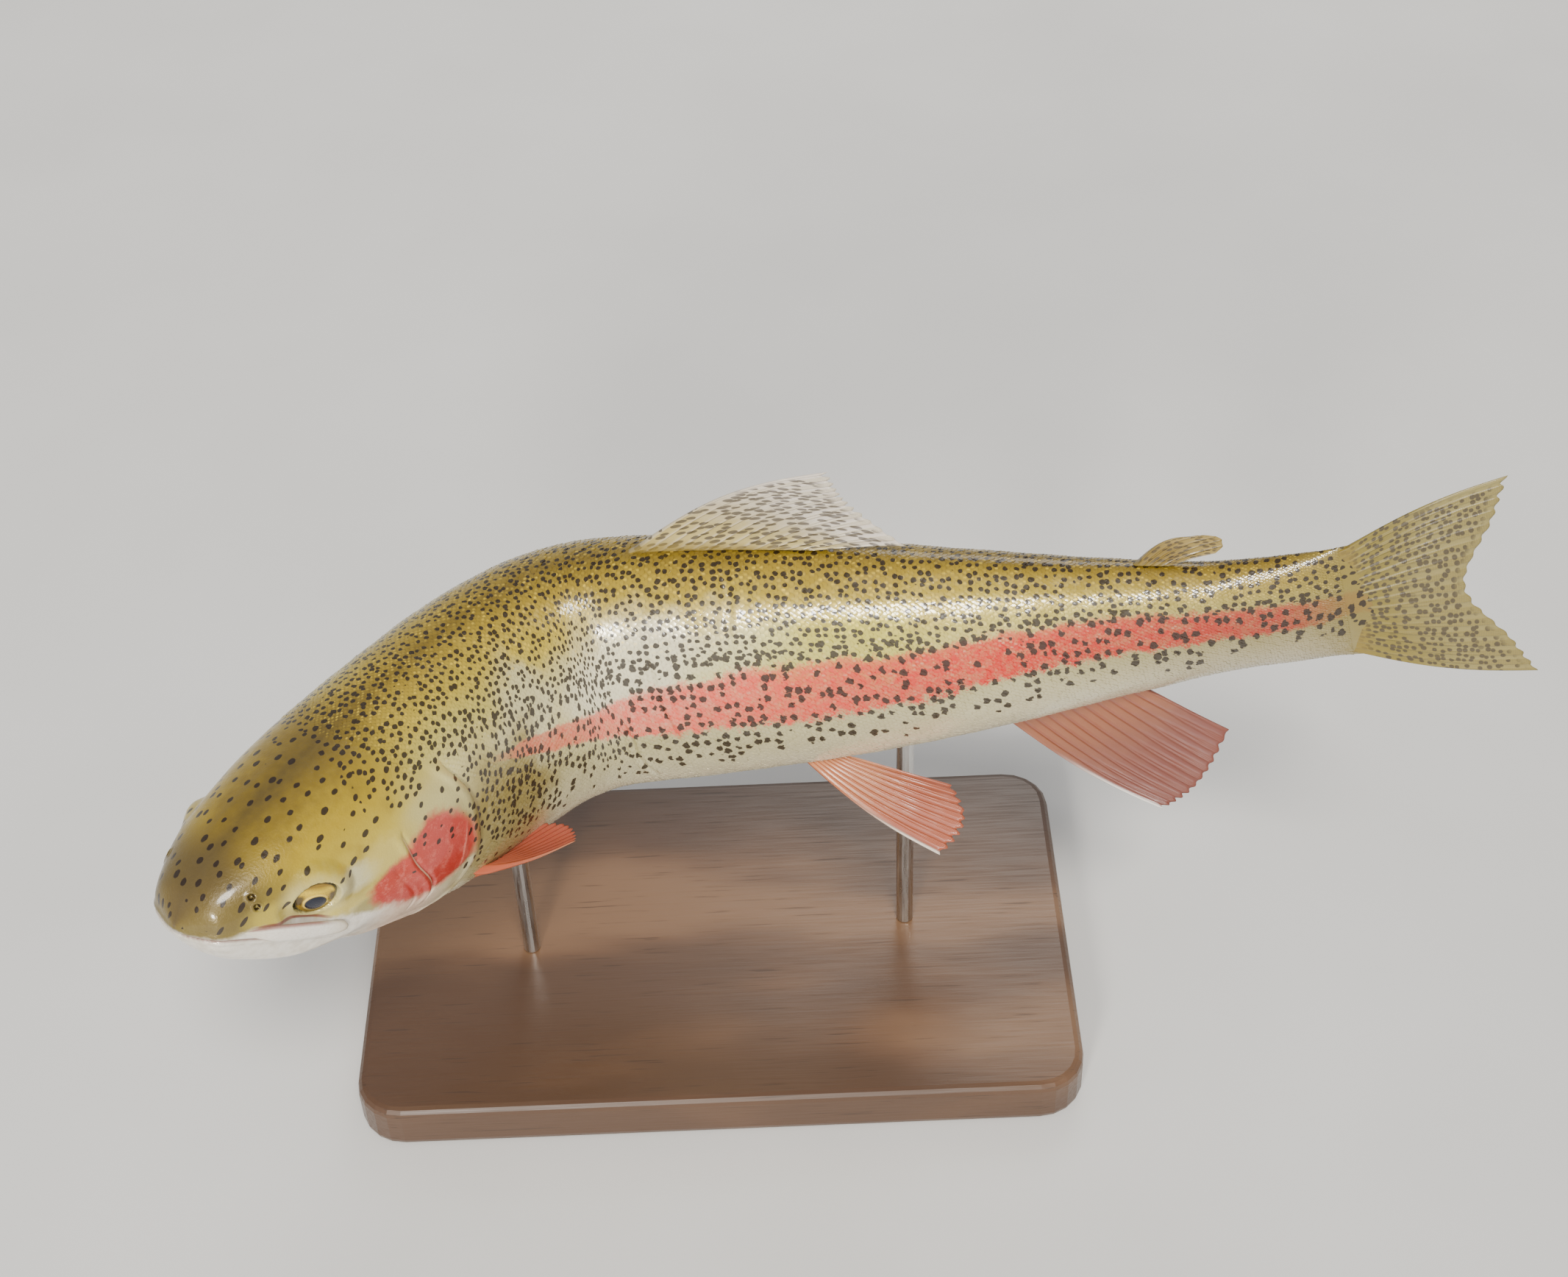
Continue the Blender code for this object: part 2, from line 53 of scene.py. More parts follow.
# Station, back over the backbone, belly under it, half width: shares of the length
SECTIONS = (
    (0.000, 0.020, 0.001, 0.011),
    (0.010, 0.031, -0.011, 0.026),
    (0.030, 0.044, -0.024, 0.038),
    (0.060, 0.058, -0.038, 0.050),
    (0.100, 0.071, -0.055, 0.059),
    (0.160, 0.086, -0.074, 0.066),
    (0.220, 0.095, -0.088, 0.068),
    (0.320, 0.101, -0.102, 0.066),
    (0.430, 0.098, -0.101, 0.059),
    (0.550, 0.087, -0.092, 0.049),
    (0.650, 0.070, -0.076, 0.039),
    (0.750, 0.053, -0.056, 0.027),
    (0.820, 0.045, -0.046, 0.019),
    (0.870, 0.046, -0.046, 0.011),
    (0.890, 0.048, -0.048, 0.004),
    (SKIN_END, 0.0485, -0.0485, 0.0016),
)
ROUNDNESS = ((0.0, 0.82), (0.20, 0.86), (0.45, 0.95), (1.0, 1.0))
# The snout rounds off before this station, to a tip at this height
NOSE_ROUND = 0.012
NOSE_HEIGHT = 0.0105
# How far apart, along the fish and round it in degrees, the points are that give the skin's slope
NEAR_STATION = 0.0015
NEAR_ANGLE = 0.8
# Station, turn to the left and rise towards the tail, in degrees
HEADINGS = (
    (0.00, 55, -12),
    (0.16, 55, -12),
    (0.24, 54, -6),
    (0.32, 38, 1),
    (0.42, -6, 8),
    (0.55, -8, 9),
    (0.75, -8, 11),
    (1.00, -7, 16),
)
# Degrees round from the back, station
GILL_OPENING = (
    (0, 0.150),
    (30, 0.158),
    (55, 0.178),
    (75, 0.196),
    (98, 0.206),
    (120, 0.196),
    (145, 0.165),
    (165, 0.135),
    (180, 0.125),
)
# Station, height of the lateral line
LATERAL_LINE = (
    (0.000, 0.012),
    (0.067, 0.016),
    (0.130, 0.026),
    (0.190, 0.038),
    (0.215, 0.041),
    (0.245, 0.033),
    (0.295, 0.019),
    (0.385, 0.004),
    (0.455, 0.005),
    (0.520, 0.006),
    (0.600, 0.006),
    (0.660, 0.012),
    (0.720, 0.013),
    (0.800, 0.008),
    (0.890, 0.000),
)
# Degrees round from the back, station where the scales start
SCALE_FRONT = (
    (0, 0.126),
    (34, 0.137),
    (49, 0.143),
    (60, 0.160),
    (68, 0.178),
    (76, 0.201),
    (98, 0.211),
    (120, 0.201),
    (145, 0.170),
    (165, 0.140),
    (180, 0.130),
)
# Station, half width of the red stripe over and under the line, in millimetres
STRIPE = (
    (0.20, 1.0, 1.0),
    (0.235, 1.6, 1.6),
    (0.26, 3.4, 3.2),
    (0.30, 5.0, 4.6),
    (0.385, 7.0, 7.5),
    (0.45, 10.5, 12.5),
    (0.52, 11.5, 13.0),
    (0.62, 9.5, 10.5),
    (0.75, 7.5, 6.5),
    (0.89, 5.0, 4.5),
)


def smooth_curve(places, values):
    """A curve through the points that never overshoots them (monotone cubic)."""
    x = np.array(places, float)
    y = np.array(values, float)
    step = np.diff(x)
    slope = np.diff(y) / step
    weight_a = 2 * step[1:] + step[:-1]
    weight_b = step[1:] + 2 * step[:-1]
    same_way = slope[1:] * slope[:-1] > 0
    safe = np.where(same_way, slope[1:] * slope[:-1], 1.0)
    inner = (weight_a + weight_b) * safe / (weight_a * slope[1:] + weight_b * slope[:-1] + (~same_way) * 1e9)
    tangent = np.concatenate([[slope[0]], np.where(same_way, inner, 0.0), [slope[-1]]])

    def at(place):
        place = np.clip(place, x[0], x[-1])
        i = np.clip(np.searchsorted(x, place, side="right") - 1, 0, len(x) - 2)
        t = (place - x[i]) / step[i]
        start = (1 + 2 * t) * (1 - t) ** 2 * y[i] + t * (1 - t) ** 2 * step[i] * tangent[i]
        end = t**2 * (3 - 2 * t) * y[i + 1] + t**2 * (t - 1) * step[i] * tangent[i + 1]
        return start + end

    return at


def table_curve(table, column=1):
    """A smooth curve through one column of a table, over its first one."""
    return smooth_curve([row[0] for row in table], [row[column] for row in table])


def smooth_step(low, high, value):
    """Rises smoothly from 0 at low to 1 at high, or falls where high is the smaller."""
    share = np.clip((value - low) / (high - low), 0, 1)
    return share * share * (3 - 2 * share)


def between(low, full, fading, high, value):
    """0 outside low and high, and 1 between full and fading."""
    return smooth_step(low, full, value) * smooth_step(high, fading, value)


def hump(value, width):
    """1 at 0, and fading out smoothly on both sides over about this width."""
    return np.exp(-((value / width) ** 2))


def unit(vectors):
    """The same directions, each of length 1."""
    return vectors / np.maximum(np.linalg.norm(vectors, axis=-1, keepdims=True), 1e-12)


def stacked(*parts):
    """Numbers side by side on a last axis, such as points from their x, y and z."""
    return np.stack(np.broadcast_arrays(*parts), -1)


back = table_curve(SECTIONS, 1)
belly = table_curve(SECTIONS, 2)
half_width = table_curve(SECTIONS, 3)
roundness = table_curve(ROUNDNESS)
gill_station = table_curve(GILL_OPENING)
line_height = table_curve(LATERAL_LINE)
scale_front = table_curve(SCALE_FRONT)
stripe_over = table_curve(STRIPE, 1)
stripe_under = table_curve(STRIPE, 2)


def to_mm(share):
    """Millimetres in a share of the fish's length."""
    return share * LENGTH / MM


def to_share(distance):
    """The share of the fish's length that so many millimetres are."""
    return distance * MM / LENGTH


def from_back(angle):
    """Degrees round from the back on either side, 0 to 180."""
    return 180 - np.abs(180 - angle % 360)


def form(station, angle):
    """Points of the straight body's skin. The angle runs from the back (0) over the left side (90)."""
    sine = np.sin(np.radians(angle))
    cosine = np.cos(np.radians(angle))
    power = roundness(station)
    top = back(station)
    bottom = belly(station)
    height = (top + bottom) / 2 + (top - bottom) / 2 * np.sign(cosine) * np.abs(cosine) ** power
    side = -half_width(station) * np.sign(sine) * np.abs(sine) ** power
    grown = np.sqrt(1 - (1 - np.clip(station / NOSE_ROUND, 0, 1)) ** 2)
    height = NOSE_HEIGHT + (height - NOSE_HEIGHT) * grown
    return stacked(station, side * grown, height) * LENGTH


def outward(station, angle):
    """The direction square to the straight body's skin, from the points close by."""
    along = form(station + NEAR_STATION, angle) - form(np.maximum(station - NEAR_STATION, 0), angle)
    around = form(station, angle + NEAR_ANGLE) - form(station, angle - NEAR_ANGLE)
    return unit(-np.cross(along, around))


def angle_at_height(station, height):
    """Degrees round from the back at which the left skin is at this height (a share of the length)."""
    top = back(station)
    bottom = belly(station)
    share = np.clip((height - (top + bottom) / 2) / ((top - bottom) / 2), -1, 1)
    cosine = np.sign(share) * np.abs(share) ** (1 / roundness(station))
    return np.degrees(np.arccos(cosine))


# The backbone, bent: its points and the directions tailward, right and up at each
SPINE_POINTS = 401
spine = np.linspace(0, 1, SPINE_POINTS)
turn = np.radians(table_curve(HEADINGS, 1)(spine))
rise = np.radians(table_curve(HEADINGS, 2)(spine))
spine_tailward = stacked(np.cos(turn) * np.cos(rise), np.sin(turn) * np.cos(rise), np.sin(rise))
spine_right = stacked(-np.sin(turn), np.cos(turn), 0)
spine_up = np.cross(spine_tailward, spine_right)
spine_steps = (spine_tailward[1:] + spine_tailward[:-1]) / 2 * LENGTH / (SPINE_POINTS - 1)
spine_points = np.concatenate([[[0, 0, 0]], np.cumsum(spine_steps, 0)])
spine_points -= spine_points[SPINE_POINTS // 2]


def bend(points):
    """Where points of the straight fish lie on the bent one, before it is set on its stand."""
    station = np.clip(points[..., 0] / LENGTH, 0, 1)
    spare = points[..., 0] - station * LENGTH

    def read(table):
        return stacked(*(np.interp(station, spine, column) for column in table.T))

    middle = read(spine_points) + read(spine_tailward) * spare[..., None]
    return middle + read(spine_right) * points[..., 1:2] + read(spine_up) * points[..., 2:]


# The stand tells where the fish is: its board lies BELLY_HEIGHT under the lower of the two rods' feet
RODS = (0.300, 0.580)
BELLY_HEIGHT = 0.070
board_low, board_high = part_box("stand_base")
feet = bend(form(np.array(RODS), np.array([180.0, 180.0])))
board_top = feet[:, 2].min() - BELLY_HEIGHT
PLACE = np.array([
    (board_low.x + board_high.x) / 2 - feet[:, 0].mean(),
    (board_low.y + board_high.y) / 2 - feet[:, 1].mean(),
    board_high.z - board_top,
])

# The skin laid flat: its girth from the back, and back from a girth to the angle, read from tables
TABLE_ROWS = 420
TABLE_COLUMNS = 361
SNOUT_LINE = 60.0
table_stations = np.linspace(0, SKIN_END, TABLE_ROWS)
table_angles = np.linspace(0, 180, TABLE_COLUMNS)
table_rings = form(table_stations[:, None], table_angles[None, :])
girth_steps = np.linalg.norm(np.diff(table_rings, axis=1), axis=2) / MM
girth_table = np.concatenate([np.zeros((TABLE_ROWS, 1)), np.cumsum(girth_steps, 1)], 1)
half_girth_table = np.maximum(girth_table[:, -1], 1e-6)
turn_table = np.stack([
    np.interp(np.linspace(0, 1, TABLE_COLUMNS), girths / max(girths[-1], 1e-6), table_angles)
    for girths in girth_table
])


def read_table(table, station, share):
    """Between the rows (stations) and columns (0 to 1) of a table."""
    row = np.clip(station / SKIN_END * (table.shape[0] - 1), 0, table.shape[0] - 1.001)
    column = np.clip(share * (table.shape[1] - 1), 0, table.shape[1] - 1.001)
    i = row.astype(int)
    j = column.astype(int)
    down = row - i
    across = column - j
    near = table[i, j] * (1 - down) + table[i + 1, j] * down
    far = table[i, j + 1] * (1 - down) + table[i + 1, j + 1] * down
    return near * (1 - across) + far * across


# Millimetres from the snout along the skin, which at the blunt snout is more than straight along the fish
snout_line = form(table_stations, np.full(TABLE_ROWS, SNOUT_LINE))
arc_steps = np.linalg.norm(np.diff(snout_line, axis=0), axis=1)
arc_table = np.concatenate([[0], np.cumsum(arc_steps)]) / MM


def half_girth(station):
    """Millimetres from the back to the belly along the skin."""
    return np.interp(station, table_stations, half_girth_table)


def girth_at(station, angle):
    """Millimetres along the skin from the back, more than 0 on the left side and less on the right."""
    side = np.where(angle % 360 <= 180, 1, -1)
    return side * read_table(girth_table, station, from_back(angle) / 180)


def angle_at_girth(station, girth):
    """The angle at so many millimetres along the skin from the back, round past the belly if need be."""
    share = np.abs(girth) / half_girth(station)
    folded = np.where(share > 1, 2 - share, share)
    angle = read_table(turn_table, station, folded)
    return np.where(share > 1, 360 - angle, angle) * np.where(girth < 0, -1, 1)


def line_girth(station):
    """Millimetres along the skin from the back to the lateral line."""
    return np.abs(girth_at(station, angle_at_height(station, line_height(station))))


# Eye: station and height, how far it turns forward and down from square to the skin, and its opening's
# half width in millimetres, stretch and slant
EYE_PLACE = (0.067, 0.016)
EYE_TURN = (0.25, 0.30)
EYE_OPENING = 6.3
EYE_STRETCH = (1.11, 0.89)
EYE_SLANT = math.radians(-8)
eye_angle = angle_at_height(*EYE_PLACE)
eye_surface = form(EYE_PLACE[0], eye_angle)
eye_outward = unit(outward(np.array(EYE_PLACE[0]), eye_angle) - np.array([EYE_TURN[0], 0, EYE_TURN[1]]))
eye_forward = unit(np.array([-1.0, 0, 0]) + eye_outward * eye_outward[0])
eye_upward = np.cross(eye_forward, eye_outward)
eye_upward = eye_upward * np.sign(eye_upward[2])
eye_long = eye_upward * math.sin(EYE_SLANT) - eye_forward * math.cos(EYE_SLANT)
eye_high = eye_upward * math.cos(EYE_SLANT) + eye_forward * math.sin(EYE_SLANT)

# Heights of the mouth's slit, where it ends, the nostrils' places, and stations of the cheek's bar by height
MOUTH_LINE = smooth_curve((-0.02, 0.0, 0.008, 0.045, 0.088), (0.0062, 0.0062, 0.0062, -0.004, -0.021))
MOUTH_END = 0.088
NOSTRILS = ((0.0310, 0.0308), (0.0318, 0.0246))
PREOPERCLE = smooth_curve((-0.0389, -0.0308, 0.0057, 0.029), (0.1605, 0.1631, 0.1434, 0.1340))
# Where the olive of the face ends and the white of the jaws starts: millimetres from the snout, height
WHITE_EDGE = smooth_curve(
    (0, 3, 9, 14.4, 22.8, 32, 42, 51.7, 59.4, 69.6, 84),
    (3.5, 3.6, 3.9, 4.8, 3.4, 0.4, -4, -8, -10.7, -13.4, -17),
)
# Rosy patch of the gill cover: its middle in millimetres, then its rim as degrees and millimetres from there
ROSY_MIDDLE = (73.0, 0.5)
ROSY_RIM = smooth_curve(
    (-180, -165, -135, -104, -75, -47, -16, 10, 35, 60, 78, 100, 129, 150, 168, 180),
    (21.5, 20.5, 15.5, 14.3, 15.5, 19.0, 23.5, 21.0, 18.0, 16.2, 15.6, 12.2, 10.3, 12.0, 17.5, 21.5),
)
# Creases of the bent left side: station and degrees round from the back at either end, then depth
CREASES = ((0.397, 86, 0.411, 132, 1.0), (0.427, 60, 0.4355, 103, 1.0), (0.491, 3, 0.488, 70, 0.35))
# Millimetres that the skin lies lower where scales cover it
COAT_DEPTH = 0.42


def to_left(values, points):
    """Points or directions at the points, those of the right half carried over to the left one."""
    side = np.where(points[..., 1] > 0, -1.0, 1.0)
    return values * stacked(1.0, side, 1.0)


def eye_distance(points):
    """Millimetres from the eye's axis, less along the longer way of its opening, and the way from it."""
    off = to_left(points, points) - eye_surface
    depth = off @ eye_outward
    radial = off - depth[..., None] * eye_outward
    distance = np.hypot(radial @ eye_long / EYE_STRETCH[0], radial @ eye_high / EYE_STRETCH[1])
    return np.where(np.abs(depth) < 0.02, distance / MM, 99.0), to_left(unit(radial), points)


def nostril_distances(points):
    """Millimetres from the middle of the front nostril, then of the rear one."""
    for station, height in NOSTRILS:
        middle = form(station, angle_at_height(station, height))
        yield np.linalg.norm(to_left(points, points) - middle, axis=-1) / MM


def jaw_groove(x, turned):
    """Degrees round from the groove under the lower jaw's bone, and 1 along the length that has it."""
    return turned - (173 - (x - 6) * 1.05), between(5, 14, 44, 56, x)


def throat_fold(x, turned):
    """Degrees round from the fold where a gill cover's skin meets the isthmus."""
    return turned - (180 - (x - 46) * 0.62)


def cheek_bar(x, height):
    """Millimetres tailward of the bar of the preopercle, at a height in millimetres."""
    return x - to_mm(PREOPERCLE(to_share(height)))


def relief(station, angle):
    """Millimetres that the modelled skin stands over the plain body, less than 0 where it is let in."""
    points = form(station, angle)
    x = points[..., 0] / MM
    z = points[..., 2] / MM
    turned = from_back(angle)
    left = (angle % 360) < 180
    gill = to_mm(gill_station(turned)) - x
    height = -COAT_DEPTH * smooth_step(-0.010, 0.012, station - scale_front(turned))
    # mouth: an upper lip, the slit under it, a lower lip and a chin that lies a little inside
    over = (z - to_mm(MOUTH_LINE(station))) * 0.93
    mouth = smooth_step(MOUTH_END + 0.004, MOUTH_END - 0.008, station) * ((turned < 170) | (station < 0.012))
    height += mouth * (0.35 * hump(over - 1.2, 0.9) + 0.30 * hump(over + 1.3, 0.9) - 1.5 * hump(over, 0.42))
    height -= 0.45 * smooth_step(-0.3, -2.5, over) * smooth_step(0.085, 0.05, station)
    height += 0.5 * hump(over + 3.4, 1.6) * smooth_step(0.03, 0.006, station)
    height += 1.6 * smooth_step(-3, -9, over) * hump((x - 27) / 17, 1)
    # lower jaw: the groove under its bone, from the chin back to its joint
    groove, on_jaw = jaw_groove(x, turned)
    height += on_jaw * (0.50 * hump(groove + 10, 7.5) - 0.45 * hump(groove, 4.0))
    height += on_jaw * (0.8 * smooth_step(150, 178, turned) - 1.10 * smooth_step(-3, 4, groove))
    # throat: the narrow isthmus runs up between the gill covers, which meet it in a fold on each side
    fold = throat_fold(x, turned)
    on_throat = smooth_step(46, 54, x) * smooth_step(1.0, 6.0, gill)
    height += on_throat * (0.30 * hump(fold + 5, 4.0) - 1.10 * hump(fold, 2.6))
    # eye: the opening in the skin, its raised rim and the brow over it
    distance = eye_distance(points)[0]
    tilt = EYE_TURN[1] * (z - eye_surface[2] / MM) + EYE_TURN[0] * (x - eye_surface[0] / MM)
    height += tilt * smooth_step(12.5, 6.8, distance)
    height += 0.50 * hump(distance - 6.9, 0.9)
    height -= 3.2 * smooth_step(EYE_OPENING + 0.25, EYE_OPENING - 0.35, distance)
    height += 0.30 * hump((x - 31.5) / 9, 1) * hump(z - 17.0, 1.8)
    height -= 0.25 * hump((x - 33) / 8, 1) * hump(z + 1.0, 1.5)
    # nostrils: two pits with a flap between
    for reach in nostril_distances(points):
        height += 0.30 * hump(reach - 1.3, 0.5) - 1.3 * smooth_step(1.15, 0.55, reach)
    # head: the hollow of the cheek, the bones under the thin skin, and the bar of the preopercle
    height -= 0.45 * hump((x - 47) / 9, 1) * hump((z + 3) / 6, 1)
    height += 0.30 * hump((x - 20) / 9, 1) * hump((z - 12) / 5, 1)
    on_cheek = between(-21, -15, 12, 17, z)
    bar = cheek_bar(x, z)
    height += on_cheek * (0.60 * hump(bar + 1.8, 1.5) - 0.75 * hump(bar - 0.3, 0.6))
    height += on_cheek * -0.28 * hump(bar + 7.5, 0.6) * smooth_step(8, 2, z)
    # gill cover: it swells, with its lower plate's joint and a soft rear margin
    height += 0.85 * hump((x - 85) / 12, 1) * hump(z / 13, 1)
    plate = z - (-14.5 + (x - 80) * 0.28)
    height -= 0.35 * hump(plate, 0.5) * smooth_step(76, 80, x) * smooth_step(0.5, 4, gill)
    height += 0.20 * hump(x - 91 - 0.12 * z, 0.7) * between(-15, -9, 2, 8, z)
    height += 0.40 * hump(gill - 2.6, 1.5) * between(45, 60, 165, 178, turned)
    # throat: the rays that spread the skin under the gill covers
    on_ribs = smooth_step(128, 136, turned) * smooth_step(-1, -5, fold) * smooth_step(50, 60, x)
    ribs = np.sin((turned - 130 + (x - 60) * 0.35) * 0.85)
    height += 0.30 * ribs * on_ribs * smooth_step(0.5, 6, gill)
    # skull: two faint ridges along the top of the head and the groove between them
    on_skull = between(0.03, 0.05, 0.10, 0.125, station) * (z > 20)
    height += 0.25 * hump(np.abs(points[..., 1]) / MM - 5, 2.2) * on_skull
    # the creases where the bent side folds
    for start, low, end, high, deep in CREASES:
        share = np.clip((turned - low) / (high - low), 0, 1)
        off = x - to_mm(start + (end - start) * share + 0.0012 * np.sin(turned * 0.21))
        on = between(low - 4, low + 8, high - 8, high + 4, turned) * left
        lips = hump(off - 2.0, 1.2) + hump(off + 2.0, 1.2)
        height += on * deep * (0.22 * lips - 0.55 * hump(off, 0.9))
    # flesh under the skin is never quite even
    height += 0.05 * np.sin(x * 0.31 + 2 * np.sin(z * 0.17)) + 0.05 * np.sin(z * 0.34 + x * 0.11)
    return height


def paint_marks(station, girth, points):
    """What the colours are read from, in millimetres.

    place: x, girth on the flat skin, and a level: 1 at the back, 0 at the lateral line, -1 at the belly.
    zone: the place in the red stripe, the height, and the way from the snout along the skin.
    face: over the edge of the white, inside the rosy patch, behind the cheek's bar.
    body: the point on the straight fish.
    """
    half = half_girth(station)
    line = line_girth(station)
    folded = np.where(np.abs(girth) > half, 2 * half - np.abs(girth), np.abs(girth))
    over = line - folded
    level = np.where(over > 0, over / np.maximum(line, 1e-6), over / np.maximum(half - line, 1e-6))
    band = np.where(over > 0, over / stripe_over(station), over / stripe_under(station))
    x = to_mm(station)
    side = points[..., 1] / MM
    height = points[..., 2] / MM
    aside = np.hypot(x - ROSY_MIDDLE[0], height - ROSY_MIDDLE[1])
    bearing = np.degrees(np.arctan2(height - ROSY_MIDDLE[1], x - ROSY_MIDDLE[0]))
    marks = {
        "place": (x, girth, level),
        "zone": (band, height, np.interp(station, table_stations, arc_table)),
        "face": (height - WHITE_EDGE(x), ROSY_RIM(bearing) - aside, cheek_bar(x, height)),
        "body": (x, side, height),
    }
    return {key: stacked(*parts).reshape(-1, 3) for key, parts in marks.items()}


def make_mesh(name, points, faces, marks, closed=True):
    """A smooth mesh object, outside out, with its points' named numbers, which its material reads."""
    volume = 0
    for part in faces:
        for k in range(1, part.shape[1] - 1):
            a, b, c = points[part[:, 0]], points[part[:, k]], points[part[:, k + 1]]
            volume += np.einsum("ij,ij->i", a - points[0], np.cross(b - points[0], c - points[0])).sum()
    if closed and volume < 0:
        faces = tuple(part[:, ::-1] for part in faces)
    mesh = bpy.data.meshes.new(name)
    mesh.vertices.add(len(points))
    mesh.vertices.foreach_set("co", np.ascontiguousarray(points, np.float32).ravel())
    corners = np.concatenate([part.ravel() for part in faces]).astype(np.int32)
    sizes = np.concatenate([np.full(len(part), part.shape[1]) for part in faces])
    starts = np.concatenate([[0], np.cumsum(sizes)[:-1]]).astype(np.int32)
    mesh.loops.add(len(corners))
    mesh.loops.foreach_set("vertex_index", corners)
    mesh.polygons.add(len(sizes))
    mesh.polygons.foreach_set("loop_start", starts)
    mesh.update(calc_edges=True)
    for key, values in marks.items():
        kind, field = ("FLOAT_VECTOR", "vector") if values.ndim == 2 else ("FLOAT", "value")
        attribute = mesh.attributes.new(key, kind, "POINT")
        attribute.data.foreach_set(field, values.astype(np.float32).ravel())
    mesh.shade_smooth()
    piece = bpy.data.objects.new(name, mesh)
    bpy.context.scene.collection.objects.link(piece)
    return piece


def grid_faces(rows, columns, closed):
    """Four-cornered faces between the rows of a grid of points, joined round if closed."""
    row = np.arange(rows - 1)[:, None]
    column = np.arange(columns if closed else columns - 1)[None, :]
    following = (column + 1) % columns
    start = row * columns
    end = start + columns
    return stacked(start + column, start + following, end + following, end + column).reshape(-1, 4)


def fan(hub, ring):
    """Three-cornered faces between a hub and each side of a ring of points."""
    return np.stack([np.full(len(ring), hub), np.roll(ring, -1), ring], 1)


def crowd(distance, reach):
    """How far to move points towards a line so that the rows of the mesh gather along it."""
    share = np.clip(np.abs(distance) / reach, 0, 1)
    return distance * (share - 1)


# Points round the body, and rows of them on the nose, the face, the cheeks and the trunk
AROUND = 264
NOSE_ROWS = 14
HEAD_ROWS = 84
FACE_END = 0.090
CHEEK_ROWS = 104
TRUNK_ROWS = 158
# Rows lie closer along the creases of the bend: share of the rows, share of the way to the tail
ROW_PLACES = ((0.0, 0.0), (0.17, 0.20), (0.58, 0.46), (1.0, 1.0))
FOLD_START = 2.6
FOLD_END = 14.0
# Millimetres over which the points gather along the rim of the eye's opening, and along the mouth
EYE_GATHER = 1.7
MOUTH_GATHER = 1.2
# The gill slit as a fold of the skin: millimetres tailward from the edge, millimetres under the surface
GILL_FOLD = (
    (-1.8, 0.0),
    (-1.0, -0.05),
    (-0.4, -0.20),
    (-0.05, -0.50),
    (0.0, -0.80),
    (-0.3, -1.05),
    (-1.2, -1.20),
    (-2.0, -1.30),
    (-2.1, -1.55),
    (-1.2, -1.55),
    (-0.2, -1.35),
    (0.7, -1.10),
    (2.5, -0.72),
    (6.0, -0.32),
    (10.0, -0.10),
)
turns = np.arange(AROUND) * 360 / AROUND
rows = []
depths = []


def add_row(stations, depth=0.0):
    """One more ring of points round the body, at these stations and this deep under the surface."""
    rows.append(np.broadcast_to(stations, AROUND))
    depths.append(np.broadcast_to(depth, AROUND))


def openness_at(turned):
    """How far the gill slit opens: not over the nape, and little under the throat."""
    return smooth_step(44, 64, turned) * (1 - 0.75 * smooth_step(160, 180, turned))


for i in range(1, NOSE_ROWS + 1):
    add_row(NOSE_ROUND * (1 - math.cos(math.pi / 2 * i / NOSE_ROWS)))
for i in range(1, HEAD_ROWS + 1):
    add_row(NOSE_ROUND + (FACE_END - NOSE_ROUND) * i / HEAD_ROWS)
edge = gill_station(from_back(turns))
openness = openness_at(from_back(turns))
fold_start = edge - to_share(FOLD_START)
fold_end = edge + to_share(FOLD_END)
for i in range(1, CHEEK_ROWS + 1):
    add_row(FACE_END + (fold_start - FACE_END) * i / CHEEK_ROWS)
for i, (tailward, under) in enumerate(GILL_FOLD):
    even = -FOLD_START + (FOLD_START + FOLD_END) * (i + 1) / (len(GILL_FOLD) + 1)
    add_row(edge + to_share(even + (tailward - even) * openness), under * openness)
for i in range(TRUNK_ROWS + 1):
    add_row(fold_end + (SKIN_END - fold_end) * np.interp(i / TRUNK_ROWS, *zip(*ROW_PLACES)))
skin_stations = np.stack(rows)
skin_depths = np.stack(depths)
skin_angles = np.broadcast_to(turns, skin_stations.shape)


def skin_points(station, angle, depth):
    """Points of the modelled skin, with the mesh gathered along the eye openings and the mouth."""
    points = form(station, angle)
    height = (relief(station, angle) + depth) * MM
    normals = outward(station, angle)
    distance, away = eye_distance(points)
    shift = crowd(distance - EYE_OPENING, EYE_GATHER) * MM
    over = points[..., 2] - MOUTH_LINE(station) * LENGTH
    on_side = (from_back(angle) < 165) | (station < 0.012)
    lift = crowd(over / MM, MOUTH_GATHER) * MM * smooth_step(MOUTH_END, MOUTH_END - 0.006, station) * on_side
    moved = points + away * shift[..., None] + normals * height[..., None]
    moved[..., 2] += lift
    return moved


body_points = skin_points(skin_stations, skin_angles, skin_depths).reshape(-1, 3)
snout_tip = form(np.array([0.0]), np.array([0.0]))
tail_hub = np.array([[SKIN_END * LENGTH, 0, 0]])
all_points = np.concatenate([body_points, snout_tip, tail_hub])
snout_ring = np.arange(AROUND)
tail_ring = snout_ring + (len(skin_stations) - 1) * AROUND
skin_faces = (
    grid_faces(len(skin_stations), AROUND, closed=True),
    fan(len(body_points), snout_ring),
    fan(len(body_points) + 1, tail_ring)[:, ::-1],
)
